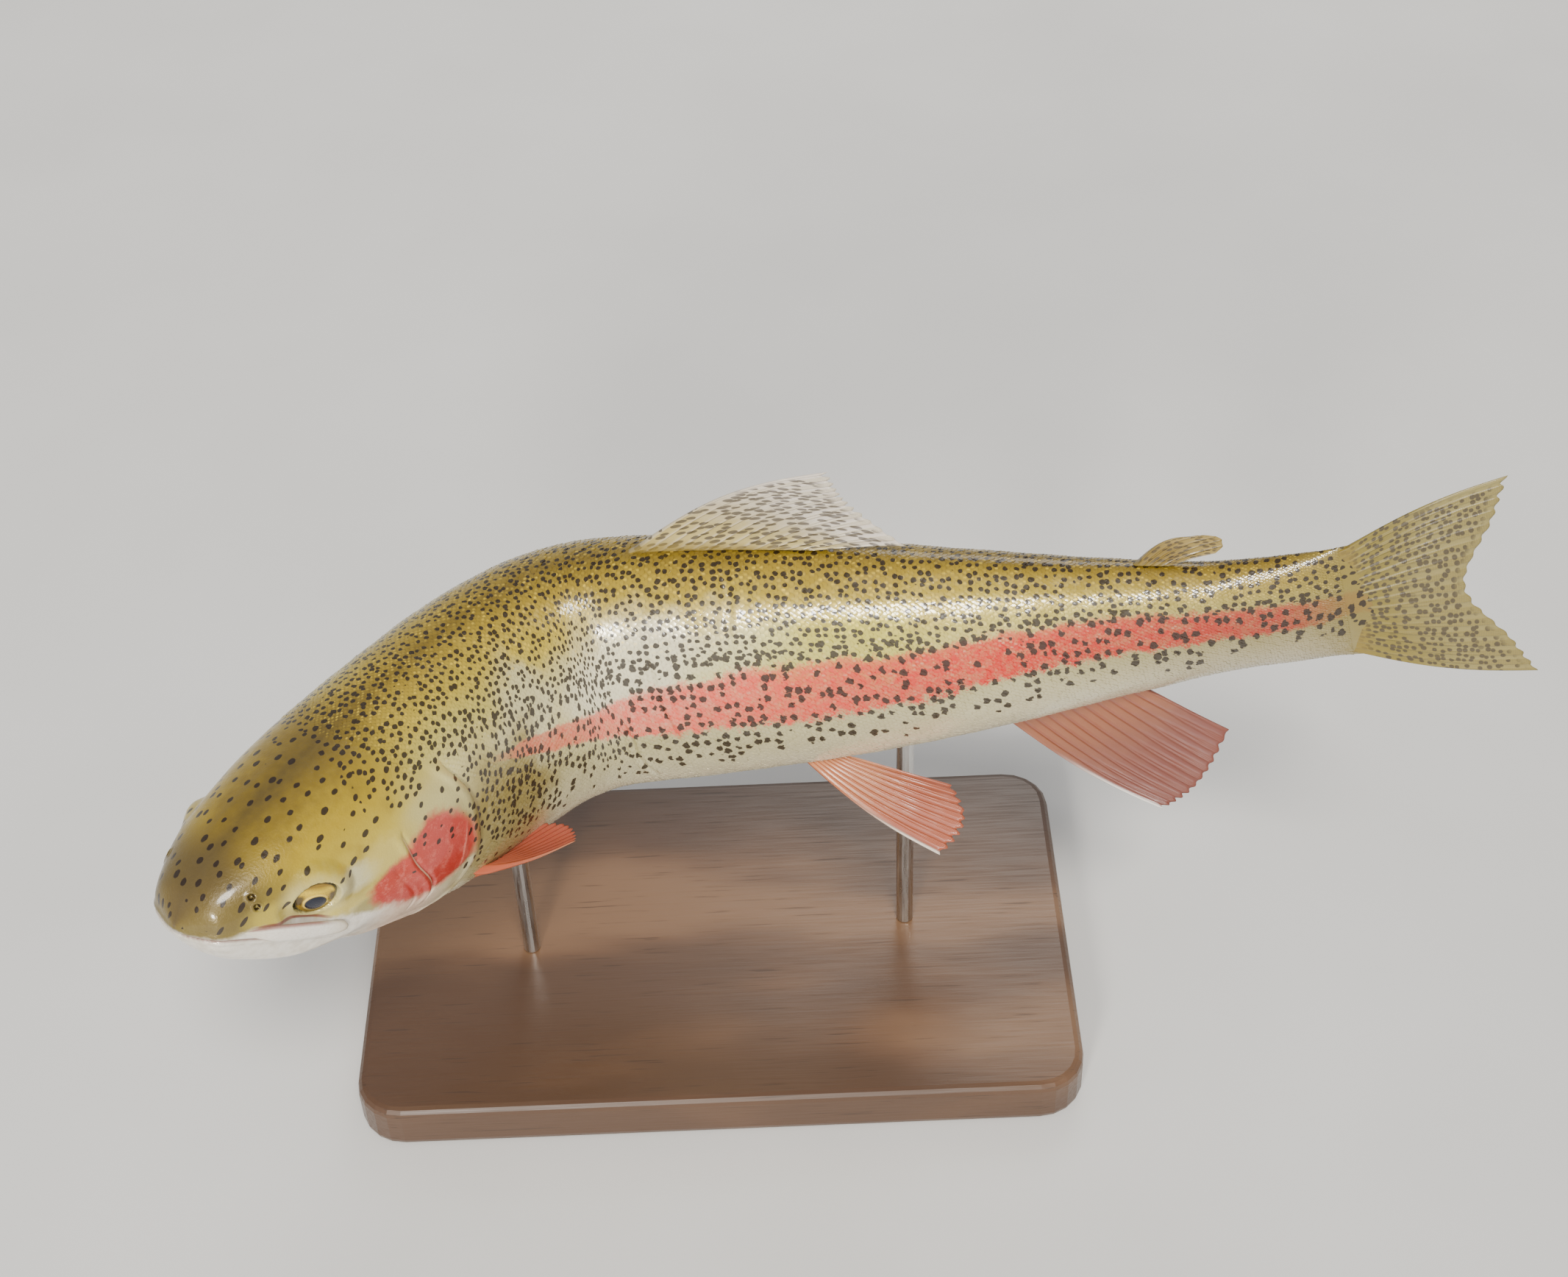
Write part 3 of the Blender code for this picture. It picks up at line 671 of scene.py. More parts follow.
# Painted shade in the skin, tinted by the red of the flesh: dark red in the slits and folds, and nearly black
# in the pits of the nostrils
slit_station = skin_stations.ravel()
slit_x = to_mm(slit_station)
slit_turned = from_back(skin_angles).ravel()
mouth_over = body_points[:, 2] / MM - to_mm(MOUTH_LINE(slit_station))
# painted shade, dark red, in the mouth's slit, the fold of the throat and the groove of the jaw, and deepest
# in the gill slit
mouth_slit_shade = 0.75 * hump(mouth_over, 0.45) * smooth_step(MOUTH_END, MOUTH_END - 0.01, slit_station)
# painted shade: the nostrils' pits, darkened nearly black where little light gets in
nostril_pit_shade = sum(smooth_step(1.3, 0.8, distance) for distance in nostril_distances(body_points))
throat_fold_shade = 0.22 * hump(throat_fold(slit_x, slit_turned), 2.2) * smooth_step(46, 54, slit_x)
throat_fold_shade = throat_fold_shade * smooth_step(0.0, 0.01, gill_station(slit_turned) - slit_station)
groove, on_jaw = jaw_groove(slit_x, slit_turned)
jaw_groove_shade = 0.16 * hump(groove, 3.6) * on_jaw
slit_shade = np.maximum(smooth_step(-1.0, -1.5, skin_depths).ravel(), mouth_slit_shade)
slit_shade = np.maximum(slit_shade, throat_fold_shade + jaw_groove_shade)
skin_girth = girth_at(skin_stations, skin_angles)
skin_marks = paint_marks(skin_stations, skin_girth, body_points.reshape(skin_stations.shape + (3,)))
skin_marks = {key: np.concatenate([values, values[:1], values[-1:]]) for key, values in skin_marks.items()}
skin_marks["slit_shade"] = np.concatenate([slit_shade, [0, 0]])
skin_marks["pit_shade"] = np.concatenate([nostril_pit_shade, [0, 0]])
skin = make_mesh("skin", bend(all_points) + PLACE, skin_faces, skin_marks)


class Layer:
    """A number or colour that changes over a surface. Sums and products of layers add Math nodes."""

    def __init__(self, tree, socket):
        self.tree = tree
        self.socket = socket

    def step(self, operation, *others):
        """A Math node that works on this and the others."""
        node = self.tree.nodes.new("ShaderNodeMath")
        node.operation = operation
        for slot, value in zip(node.inputs, (self, *others)):
            feed(slot, value)
        return Layer(self.tree, node.outputs[0])

    def __add__(self, other):
        return self.step("ADD", other)

    def __sub__(self, other):
        return self.step("SUBTRACT", other)

    def __mul__(self, other):
        return self.step("MULTIPLY", other)

    def inverted(self):
        """One less this."""
        return self * -1 + 1

    def ramp(self, start, end, low=0.0, high=1.0):
        """Goes smoothly from low to high as this goes from start to end."""
        node = self.tree.nodes.new("ShaderNodeMapRange")
        node.interpolation_type = "SMOOTHSTEP"
        for slot, value in zip(node.inputs, (self, start, end, low, high)):
            feed(slot, value)
        return Layer(self.tree, node.outputs[0])

    def window(self, low, full, fading, high):
        """0 outside low and high, and 1 between full and fading."""
        return self.ramp(low, full) * self.ramp(high, fading)


def feed(slot, value):
    """Link a layer to a socket, or set the socket to a plain number or colour."""
    if isinstance(value, Layer):
        value.tree.links.new(value.socket, slot)
    elif isinstance(value, tuple) and len(value) == 3 and slot.type == "RGBA":
        slot.default_value = (*value, 1)
    else:
        slot.default_value = value


def named(tree, name, part="Fac"):
    """Numbers that the mesh carries under this name."""
    node = tree.nodes.new("ShaderNodeAttribute")
    node.attribute_name = name
    return Layer(tree, node.outputs[part])


def split(layer):
    """The three parts of a vector or colour, each as a layer."""
    node = layer.tree.nodes.new("ShaderNodeSeparateXYZ")
    feed(node.inputs[0], layer)
    return [Layer(layer.tree, output) for output in node.outputs]


def joined(x, y, z):
    """A vector of three parts, the first of them a layer."""
    node = x.tree.nodes.new("ShaderNodeCombineXYZ")
    for slot, value in zip(node.inputs, (x, y, z)):
        feed(slot, value)
    return Layer(x.tree, node.outputs[0])


def mixed(share, under, over):
    """The colour over laid on the colour under where the share is 1."""
    node = share.tree.nodes.new("ShaderNodeMix")
    node.data_type = "RGBA"
    feed(node.inputs[0], share)
    feed(node.inputs[6], under)
    feed(node.inputs[7], over)
    return Layer(share.tree, node.outputs[2])


def noise(tree, where, scale, detail):
    """Soft random values from 0 to 1: the scale is grains to a unit of length, the detail how fine."""
    node = tree.nodes.new("ShaderNodeTexNoise")
    feed(node.inputs["Vector"], where)
    node.inputs["Scale"].default_value = scale
    node.inputs["Detail"].default_value = detail
    return Layer(tree, node.outputs["Fac"])


def shades(value, stops):
    """A colour read from a row of (value, colour)."""
    low = stops[0][0]
    high = stops[-1][0]
    node = value.tree.nodes.new("ShaderNodeValToRGB")
    row = node.color_ramp
    for _ in stops[2:]:
        row.elements.new(0.5)
    for element, (at, colour) in zip(row.elements, stops):
        element.position = (at - low) / (high - low)
        element.color = (*colour, 1)
    feed(node.inputs[0], (value - low) * (1 / (high - low)))
    return Layer(value.tree, node.outputs[0])


def patched(colour, x, z, soft, patches):
    """The colour with oval patches on it that fade at their rims: middle, size, shade and strength."""
    for (middle_x, middle_z), (long, high), shade, strength in patches:
        off_x = (x - middle_x) * (1 / long)
        off_z = (z - middle_z) * (1 / high)
        reach = (off_x * off_x + off_z * off_z).step("SQRT")
        colour = mixed(reach.ramp(1 + soft / 2, 1 - soft / 2) * strength, colour, shade)
    return colour


def new_group(name, inputs, outputs):
    """A shader node group and its input and output nodes."""
    group = bpy.data.node_groups.new(name, "ShaderNodeTree")
    for title, kind, start in inputs:
        socket = group.interface.new_socket(name=title, in_out="INPUT", socket_type=kind)
        socket.default_value = start
    for title, kind in outputs:
        group.interface.new_socket(name=title, in_out="OUTPUT", socket_type=kind)
    return group, group.nodes.new("NodeGroupInput"), group.nodes.new("NodeGroupOutput")


def spots(tree, x, girth, cell, stretch, size, ragged, fill, seed):
    """Dark flecks, at most one to a cell, and few of them where fill is low."""
    # of a cell's lucky numbers, the first says whether its spot is there and the second how small it is
    node = tree.nodes.new("ShaderNodeTexVoronoi")
    node.voronoi_dimensions = "2D"
    wobble = noise(tree, joined(x, girth, seed), 0.55, 1.0)
    across = (x * (1 / (cell * stretch)) + seed) + (wobble - 0.5) * ragged
    down = (girth * (1 / cell) + seed * 1.7) - (wobble - 0.5) * ragged
    feed(node.inputs["Vector"], joined(across, down, 0.0))
    node.inputs["Scale"].default_value = 1.0
    node.inputs["Randomness"].default_value = 0.74
    luck = split(Layer(tree, node.outputs["Color"]))
    spare = fill - luck[0]
    far = Layer(tree, node.outputs["Distance"]) - luck[1] * size * 0.35 + spare.ramp(0.12, 0.0) * (size * 1.4)
    return far.ramp(size * 0.95, size * 0.70)


# Colours of the living fish, from the back down the flank, and of the parts of its head, with painted sheens
# and painted shade among them
def make_markings_and_painted_light():
    """The trout's colours over skin and scales alike, painted sheens and shade among them."""
    group, given, given_out = new_group(
        "trout markings and painted light",
        [("Spot Strength", "NodeSocketFloat", 1.0)],
        [("Colour", "NodeSocketColor"), ("Spots", "NodeSocketFloat"), ("Silver", "NodeSocketFloat")],
    )
    x, girth, level = split(named(group, "place", "Vector"))
    band, z, arc = split(named(group, "zone", "Vector"))
    over_white, rosy, bar = split(named(group, "face", "Vector"))
    here = named(group, "body", "Vector")
    cloud = noise(group, here, 0.06, 3.0) - 0.5
    mottle = noise(group, here, 0.35, 3.0) - 0.5
    grain = noise(group, here, 1.6, 3.0) - 0.5
    drifted = level + cloud * 0.25
    # the trunk from back to belly in the fish's own colours; the pale stops about the lateral line are also
    # lightened as a painted sheen of the wet flank
    trunk = shades(drifted, (
        (-1.0, (0.80, 0.76, 0.64)),
        (-0.50, (0.63, 0.58, 0.38)),
        (-0.18, (0.47, 0.42, 0.20)),
        (0.10, (0.60, 0.52, 0.22)),
        (0.38, (0.53, 0.44, 0.10)),
        (0.62, (0.45, 0.33, 0.033)),
        (0.84, (0.32, 0.215, 0.016)),
        (1.0, (0.17, 0.108, 0.008)),
    ))
    head = shades(drifted + mottle * 0.2, (
        (-1.0, (0.76, 0.72, 0.62)),
        (-0.42, (0.74, 0.70, 0.60)),
        (-0.20, (0.54, 0.44, 0.10)),
        (0.15, (0.50, 0.375, 0.035)),
        (0.45, (0.40, 0.275, 0.014)),
        (0.75, (0.19, 0.123, 0.010)),
        (1.0, (0.10, 0.065, 0.010)),
    ))
    colour = mixed(x.ramp(58, 84), head, trunk)
    # clouds of darker olive over the head, and a duller tail end
    colour = mixed(cloud.ramp(0.02, 0.16) * x.ramp(90, 60) * 0.35, colour, (0.24, 0.16, 0.010))
    colour = mixed(x.ramp(300, 410, 0, 0.5), colour, (0.14, 0.085, 0.010))
    # a pale painted sheen on the mid flank and another on the shoulder, standing for the sky's reflection on
    # the wet skin; a yellow-green patch of the flank's own colour; and darker olive behind the gill cover
    colour = patched(colour, x + cloud * 40, level * 60 + cloud * 30, 0.9, (
        # painted sheens: the two pale patches, on the mid flank and on the shoulder
        ((203, 16), (50, 19), (0.84, 0.80, 0.64), 0.62),
        ((131, 14), (13, 20), (0.66, 0.62, 0.42), 0.50),
        ((262, 15), (36, 15), (0.54, 0.49, 0.045), 0.60),
        ((112, -18), (24, 26), (0.23, 0.165, 0.028), 0.80),
    ))
    # the red stripe, paler where it starts and ragged at its edges
    ragged = band + mottle * 0.8 + cloud * 0.5 + grain * 0.7
    stripe = ragged.window(-1.10, -0.75, 0.80, 1.15) * x.ramp(104, 124)
    red = shades(x, (
        (96, (0.60, 0.17, 0.07)),
        (190, (0.82, 0.160, 0.100)),
        (235, (0.82, 0.100, 0.060)),
        (320, (0.64, 0.022, 0.012)),
        (420, (0.34, 0.040, 0.020)),
    ))
    colour = mixed(stripe * ((mottle + grain) * 0.9 + 0.88), colour, red)
    colour = mixed((x + mottle * 8).ramp(404, 430) * 0.85, colour, (0.23, 0.175, 0.035))
    # head: pale rings by the eye, a painted shade on the snout where it turns away from the light, a painted
    # shade round the eye's opening, the olive cheek and the white under it
    near_x = x + mottle * 4
    near_z = z + mottle * 4
    colour = patched(colour, near_x, near_z, 0.8, (
        # painted shade: the dark snout, turned away from the light
        ((-2.0, 14.0), (25.0, 15.0), (0.085, 0.058, 0.020), 0.84),
        ((46.0, 8.6), (8.0, 4.6), (0.60, 0.565, 0.36), 0.75),
        ((21.0, 7.0), (9.0, 5.0), (0.48, 0.37, 0.04), 0.70),
        ((31.5, 7.6), (9.4, 8.6), (0.60, 0.54, 0.25), 0.60),
        ((57.0, 11.0), (8.0, 6.0), (0.58, 0.47, 0.12), 0.60),
        ((78.0, 19.0), (11.0, 4.5), (0.50, 0.44, 0.17), 0.60),
        ((51.5, -5.2), (7.0, 3.4), (0.27, 0.22, 0.05), 0.85),
        # painted shade: darker skin round the eye's opening, where it dips into the socket
        ((31.8, 7.7), (6.9, 6.9), (0.20, 0.15, 0.05), 0.35),
        ((38.0, -12.5), (17.0, 3.6), (0.56, 0.52, 0.34), 0.45),
    ))
    white_here = (over_white + mottle * 2.4).ramp(1.1, -1.3) * x.ramp(92, 74)
    white = mixed((mottle * 2 + cloud).ramp(-0.4, 0.6), (0.72, 0.68, 0.60), (0.56, 0.51, 0.42))
    white = mixed(near_x.ramp(48, 66) * 0.7, white, (0.70, 0.48, 0.34))
    colour = mixed(white_here, colour, white)
    # the dark red line in the fold over the upper jaw
    fold = over_white.step("ABSOLUTE").ramp(0.75, 0.25) * x.window(11, 17, 34, 40)
    colour = mixed(fold * 0.85, colour, (0.15, 0.02, 0.018))
    # the rosy gill cover, redder at its front and foot, with a thin painted highlight along the edge of the
    # cheek's bar across it
    inside = rosy + mottle * 4.5 + grain * 0.7
    redder = (near_x.ramp(80, 58) * near_z.ramp(9, -1)).step("MAXIMUM", near_z.ramp(-1, -8))
    rose = mixed(redder, (0.47, 0.030, 0.028), (0.43, 0.002, 0.0))
    rose = mixed(near_x.ramp(84, 96) * 0.6, rose, (0.55, 0.06, 0.045))
    rose = mixed((mottle + grain * 0.5).ramp(-0.02, 0.22) * 0.5, rose, (0.64, 0.13, 0.10))
    colour = mixed(inside.ramp(-2.4, 2.2) * 0.95, colour, rose)
    # painted highlight: a thin cream line along the cheek's bar
    edge = (bar + 0.2).step("ABSOLUTE").ramp(0.55, 0.15) * z.window(-19, -15, 10, 16)
    colour = mixed(edge * 0.75, colour, (0.78, 0.58, 0.38))
    joint = ((x - 90.6) - z * 0.12 + mottle * 2).step("ABSOLUTE").ramp(0.7, 0.1)
    colour = mixed(joint * z.window(-13, -9, 1, 7) * 0.22, colour, (0.74, 0.42, 0.30))
    # spots: small and even on the back, larger and ragged by the stripe, few on the head
    back_fill = level.ramp(0.16, 0.34) * x.ramp(50, 66) * 0.95
    flank_fill = level.window(-0.62, -0.22, 0.26, 0.44) * x.ramp(106, 124) * 0.80
    flank_fill = flank_fill * (band * band).ramp(0.2, 0.9, 0.80, 1.0)
    shoulder_fill = level.window(-0.66, -0.30, 0.24, 0.44) * x.window(88, 98, 118, 138) * 0.92
    head_fill = level.ramp(-0.06, 0.10) * x.ramp(66, 52) * over_white.ramp(0.5, 2.0) * 0.92
    cover_fill = x.window(58, 74, 97, 102) * z.window(-6, 6, 22, 26) * 0.75
    # Millimetres to a cell, its stretch, a spot's share of it, raggedness, where they lie, seed
    flecks = [spots(group, arc, girth, *kind) for kind in (
        (2.65, 1.10, 0.305, 0.35, back_fill, 3.0),
        (4.2, 0.82, 0.330, 0.65, flank_fill, 11.0),
        (3.7, 0.66, 0.305, 0.35, shoulder_fill, 23.0),
        (4.7, 1.45, 0.175, 0.12, head_fill, 37.0),
        (5.0, 1.0, 0.17, 0.12, cover_fill, 51.0),
    )]
    dark = flecks[0]
    for more in flecks[1:]:
        dark = dark.step("MAXIMUM", more)
    dark = dark * Layer(group, given.outputs["Spot Strength"])
    colour = mixed(dark * 0.95, colour, (0.016, 0.008, 0.004))
    feed(given_out.inputs["Colour"], colour)
    feed(given_out.inputs["Spots"], dark)
    feed(given_out.inputs["Silver"], drifted.ramp(0.95, 0.2) * dark.inverted())
    return group


MARKINGS_AND_PAINTED_LIGHT = make_markings_and_painted_light()


def new_material(name):
    """A material, its node tree and its shader."""
    material = bpy.data.materials.new(name)
    material.use_nodes = True
    return material, material.node_tree, material.node_tree.nodes["Principled BSDF"]


def place_group(tree, group, **values):
    """Put the group in a material with its own values. Its outputs come back by name."""
    node = tree.nodes.new("ShaderNodeGroup")
    node.node_tree = group
    for title, value in values.items():
        feed(node.inputs[title.replace("_", " ")], value)
    return {output.name: Layer(tree, output) for output in node.outputs}


def raise_bump(tree, shader, height, distance, strength=0.6):
    """Fine relief in the material: distance is how far its full height stands out."""
    node = tree.nodes.new("ShaderNodeBump")
    node.inputs["Strength"].default_value = strength
    node.inputs["Distance"].default_value = distance
    feed(node.inputs["Height"], height)
    tree.links.new(node.outputs[0], shader.inputs["Normal"])


skin_material, tree, shader = new_material("skin")
marks = place_group(tree, MARKINGS_AND_PAINTED_LIGHT, Spot_Strength=1.0)
here = named(tree, "body", "Vector")
# painted shade: the slits and folds darkened to a dark red
slit_shade_colour = mixed(named(tree, "slit_shade"), marks["Colour"], (0.16, 0.012, 0.008))
# painted shade in the nostril pits, nearly black
pit_shade = named(tree, "pit_shade")
feed(shader.inputs["Base Color"], mixed(pit_shade.ramp(0.0, 0.7), slit_shade_colour, (0.022, 0.013, 0.005)))
feed(shader.inputs["Metallic"], marks["Silver"] * 0.18)
feed(shader.inputs["Roughness"], noise(tree, here, 0.5, 3.0).ramp(0.2, 0.8, 0.28, 0.46))
shader.inputs["Specular IOR Level"].default_value = 0.35
feed(shader.inputs["Coat Weight"], pit_shade.ramp(0.0, 0.5, 0.45, 0.0))
shader.inputs["Coat Roughness"].default_value = 0.10
raise_bump(tree, shader, noise(tree, here, 1.3, 4.0), 0.0002)
skin.data.materials.append(skin_material)
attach(skin, "root")
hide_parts("head", "lower_jaw", "gill_cover_left", "gill_cover_right", "trunk_front", "trunk_middle",
            "tail_stalk")

# ---------------------------------------------------------------------------------------------------
# Scales. Thin bony plates laid like tiles from the lateral line up and down, small at the nape and on
# the tail stalk. Each is a closed solid whose front lies under the ones before it.

# Millimetres from ring to ring, a plate's length in rings and its width in spaces, where the last ring is
RING_STEP = 1.36
PLATE_LENGTH = 2.9
PLATE_WIDTH = 1.16
SCALES_END = 0.883
# Outline and lift of one plate: share of its length, half width, lift of its middle and of its edge
PLATE_ROWS = (
    (0.00, 0.62, -0.14, -0.17),
    (0.34, 0.98, 0.03, -0.03),
    (0.66, 1.00, 0.17, 0.09),
    (0.88, 0.66, 0.25, 0.18),
)
PLATE_TIP = (1.00, 0.25)
PLATE_THICKNESS = 0.10
PLATE_SHARP = math.radians(55)
# Millimetres from one scale to the next round the body where it is fullest, and half its girth there
SCALE_SPACING = 2.3
FULL_HALF_GIRTH = 126
# How ragged the coat's front edge is, as a share of the length
FRONT_RAGGED = 0.003
# One unit of the flat map in millimetres, and the length of one scale on it
UNWRAP = LENGTH / MM
PATCH = 0.003
dice = np.random.default_rng(7)


def ring_scale(station):
    """Size of the scales along the body, as a share of the largest."""
    return smooth_curve((0.12, 0.20, 0.34, 0.62, 0.80, 0.88), (0.66, 0.82, 1.0, 0.94, 0.72, 0.56))(station)


def lay_out_scales():
    """Station, girth and size of every scale, ring after ring, each ring half a scale off the last."""
    places = []
    station = min(row[1] for row in SCALE_FRONT)
    ring = 0
    while station < SCALES_END:
        size = float(ring_scale(station))
        line = float(line_girth(station))
        half = float(half_girth(station))
        width = SCALE_SPACING * size * (0.55 + 0.45 * float(half / FULL_HALF_GIRTH))
        for side in (1, -1):
            for way, room in ((-1, line), (1, half - line)):
                count = int(room / width)
                start = 0 if way < 0 or ring % 2 else 1
                for k in range(start, count + 1):
                    offset = (k + (0.5 if ring % 2 else 0.0)) * room / (count + 0.5)
                    if offset > room:
                        continue
                    places.append((station, side * (line + way * offset), size, width))
        ring += 1
        station += to_share(RING_STEP * size)
    return np.array(places)


laid = lay_out_scales()
scale_station, scale_girth, scale_size, scale_width = laid.T
scale_angle = from_back(angle_at_girth(scale_station, scale_girth))
kept = scale_station > scale_front(scale_angle) + dice.uniform(0, FRONT_RAGGED, len(laid))
scale_station, scale_girth, scale_size, scale_width = (values[kept] for values in laid.T)
count = len(scale_station)
scale_luck = dice.uniform(0, 1, count)

# One plate: three points to a row and the tip on its face, and the outline again on its underside
plate_points = []
for along, wide, middle_lift, edge_lift in PLATE_ROWS:
    plate_points += [(along, -wide, edge_lift), (along, 0, middle_lift), (along, wide, edge_lift)]
plate_points.append((PLATE_TIP[0], 0, PLATE_TIP[1]))
outline = [0, 1, 2, 5, 8, 11, 12, 9, 6, 3]
under = {index: len(plate_points) + k for k, index in enumerate(outline)}
for index in outline:
    along, across, lift = plate_points[index]
    plate_points.append((along, across, lift - PLATE_THICKNESS))
plate_along, plate_across, plate_lift = np.array(plate_points).T
plate_faces = []
for row in range(0, 9, 3):
    for a in (row, row + 1):
        plate_faces += [(a, a + 3, a + 4), (a, a + 4, a + 1)]
plate_faces += [(9, 12, 10), (10, 12, 11)]
for near, far in zip(outline, outline[1:] + outline[:1]):
    plate_faces += [(near, far, under[far]), (near, under[far], under[near])]
for row in range(0, 9, 3):
    a, b, c, d = (under[row + k] for k in (0, 2, 5, 3))
    plate_faces += [(a, b, c), (a, c, d)]
plate_faces.append((under[9], under[11], under[12]))
plate_faces = np.array(plate_faces)

# Every plate laid in its place, each a little off its neighbours in size, slant and tilt
length = (RING_STEP * PLATE_LENGTH * scale_size * dice.uniform(0.94, 1.06, count))[:, None]
breadth = (scale_width * PLATE_WIDTH / 2 * dice.uniform(0.95, 1.05, count))[:, None]
skew = dice.normal(0, 0.05, count)[:, None]
tilt = dice.normal(0, 0.018, count)[:, None]
point_x = to_mm(scale_station[:, None]) + plate_along * length
point_girth = scale_girth[:, None] + plate_across * breadth + skew * plate_along * length
point_lift = plate_lift * (0.6 + 0.4 * scale_size[:, None]) + tilt * plate_along * 3
point_station = np.minimum(to_share(point_x), SKIN_END - 0.001)
point_angle = angle_at_girth(point_station, point_girth)
# The first scales go down with the skin behind the gill slit: the last four rows of its fold
behind_slit, under_skin = zip(*GILL_FOLD[-4:])
point_turned = from_back(point_angle)
from_slit = to_mm(point_station - gill_station(point_turned))
slit_slope = np.interp(from_slit, behind_slit + (FOLD_END,), under_skin + (0.0,)) * openness_at(point_turned)
point_height = (relief(point_station, point_angle) + slit_slope + point_lift) * MM
straight = form(point_station, point_angle)
scale_points = bend(straight + outward(point_station, point_angle) * point_height[..., None]) + PLACE
blade = stacked(plate_across, plate_along, scale_luck[:, None])
map_u = scale_station[:, None] + plate_along * PATCH
map_v = 0.5 + scale_girth[:, None] / UNWRAP + plate_across * PATCH / 2

scale_material, tree, shader = new_material("scales")
marks = place_group(tree, MARKINGS_AND_PAINTED_LIGHT, Spot_Strength=1.0)
across, along, luck = split(named(tree, "blade", "Vector"))
x, girth, level = split(named(tree, "place", "Vector"))
# painted glints: a bright dash on each scale, golden on the back and pale lower down, where light would glint
# off it
glint = along.window(0.52, 0.68, 0.80, 0.92) * across.step("ABSOLUTE").ramp(0.42, 0.16)
patchy = noise(tree, joined(x, girth, 0.0), 0.22, 2.0).ramp(0.38, 0.66, 0.15, 1.0)
painted_glint = glint * patchy * luck.ramp(0.35, 1.0) * marks["Spots"].inverted()
painted_glint_colour = mixed(level.ramp(0.1, 0.6), (0.88, 0.83, 0.60), (0.86, 0.60, 0.045))
rim = along.ramp(0.84, 1.0) + across.step("ABSOLUTE").ramp(0.66, 1.0) * 0.6
colour = mixed(rim * level.ramp(0.1, 0.7, 0.18, 0.42), marks["Colour"], (0.09, 0.062, 0.008))
colour = mixed(painted_glint * level.ramp(0.0, 0.6, 0.20, 0.75), colour, painted_glint_colour)
feed(shader.inputs["Base Color"], colour)
feed(shader.inputs["Metallic"], marks["Silver"] * 0.22 + painted_glint * 0.30)
feed(shader.inputs["Roughness"], luck.ramp(0, 1, 0.24, 0.42))
shader.inputs["Specular IOR Level"].default_value = 0.40
shader.inputs["Coat Weight"].default_value = 0.55
shader.inputs["Coat Roughness"].default_value = 0.07

# The coat in pieces, each a length of one side
SCALE_LENGTHS = (
    ("nape", 0.0, 0.262),
    ("shoulder", 0.262, 0.375),
    ("loin", 0.375, 0.50),
    ("vent", 0.50, 0.645),
    ("stalk", 0.645, 0.755),
    ("wrist", 0.755, 1.0),
)
for side, is_side in (("left", scale_girth > 0), ("right", scale_girth <= 0)):
    for name, start, end in SCALE_LENGTHS:
        chosen = np.nonzero(is_side & (scale_station >= start) & (scale_station < end))[0]
        coat_marks = paint_marks(point_station[chosen], point_girth[chosen], straight[chosen])
        coat_marks["blade"] = blade[chosen].reshape(-1, 3)
        points = scale_points[chosen].reshape(-1, 3)
        faces = (np.arange(len(chosen))[:, None, None] * len(plate_along) + plate_faces).reshape(-1, 3)
        coat = make_mesh(f"scales_{name}_{side}", points, (faces,), coat_marks)
        bake_map = coat.data.uv_layers.new(name="OFBake")
        corners = stacked(map_u[chosen].ravel()[faces], map_v[chosen].ravel()[faces])
        bake_map.data.foreach_set("uv", corners.astype(np.float32).ravel())
        coat.data.set_sharp_from_angle(angle=PLATE_SHARP)
        coat.data.materials.append(scale_material)
        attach(coat, "root")

# ---------------------------------------------------------------------------------------------------
# Upper jaw plates (maxillae). A slim ivory bone on each side that overlies the corner of the mouth,
# round at its rear end, with a raised edge along its length.

# Its two ends, the least and the added half height, and its arch, as shares of the length; then how thick
# it is and how far its edge stands over the skin, in millimetres
MAXILLA_STATIONS = (0.019, 0.092)
MAXILLA_HEIGHTS = (0.0092, -0.0185)
MAXILLA_HALF = (0.0026, 0.0042)
MAXILLA_ARCH = 0.0012
MAXILLA_THICKNESS = 1.10
MAXILLA_SEAT = 0.12
MAXILLA_ROWS = 60
MAXILLA_COLUMNS = 12
jaw_material, tree, shader = new_material("jaw bone")
run, side_share = split(named(tree, "bone", "Vector"))[:2]
grain = noise(tree, joined(run * 40, side_share * 4, 0.0), 1.0, 4.0)
ivory = shades(run, (
    (0.0, (0.62, 0.54, 0.40)),
    (0.25, (0.72, 0.67, 0.59)),
    (0.75, (0.75, 0.71, 0.63)),
    (1.0, (0.60, 0.52, 0.38)),
))
colour = mixed(grain.ramp(0.40, 0.75, 0.0, 0.35), ivory, (0.52, 0.44, 0.32))
red_edge = side_share.ramp(0.62, 0.95) * run.window(0.02, 0.12, 0.66, 0.86)
colour = mixed(red_edge * 0.75, colour, (0.24, 0.05, 0.03))
feed(shader.inputs["Base Color"], colour)
feed(shader.inputs["Roughness"], grain.ramp(0.2, 0.8, 0.26, 0.42))
shader.inputs["Coat Weight"].default_value = 0.5
shader.inputs["Coat Roughness"].default_value = 0.1
raise_bump(tree, shader, grain, 0.0002)

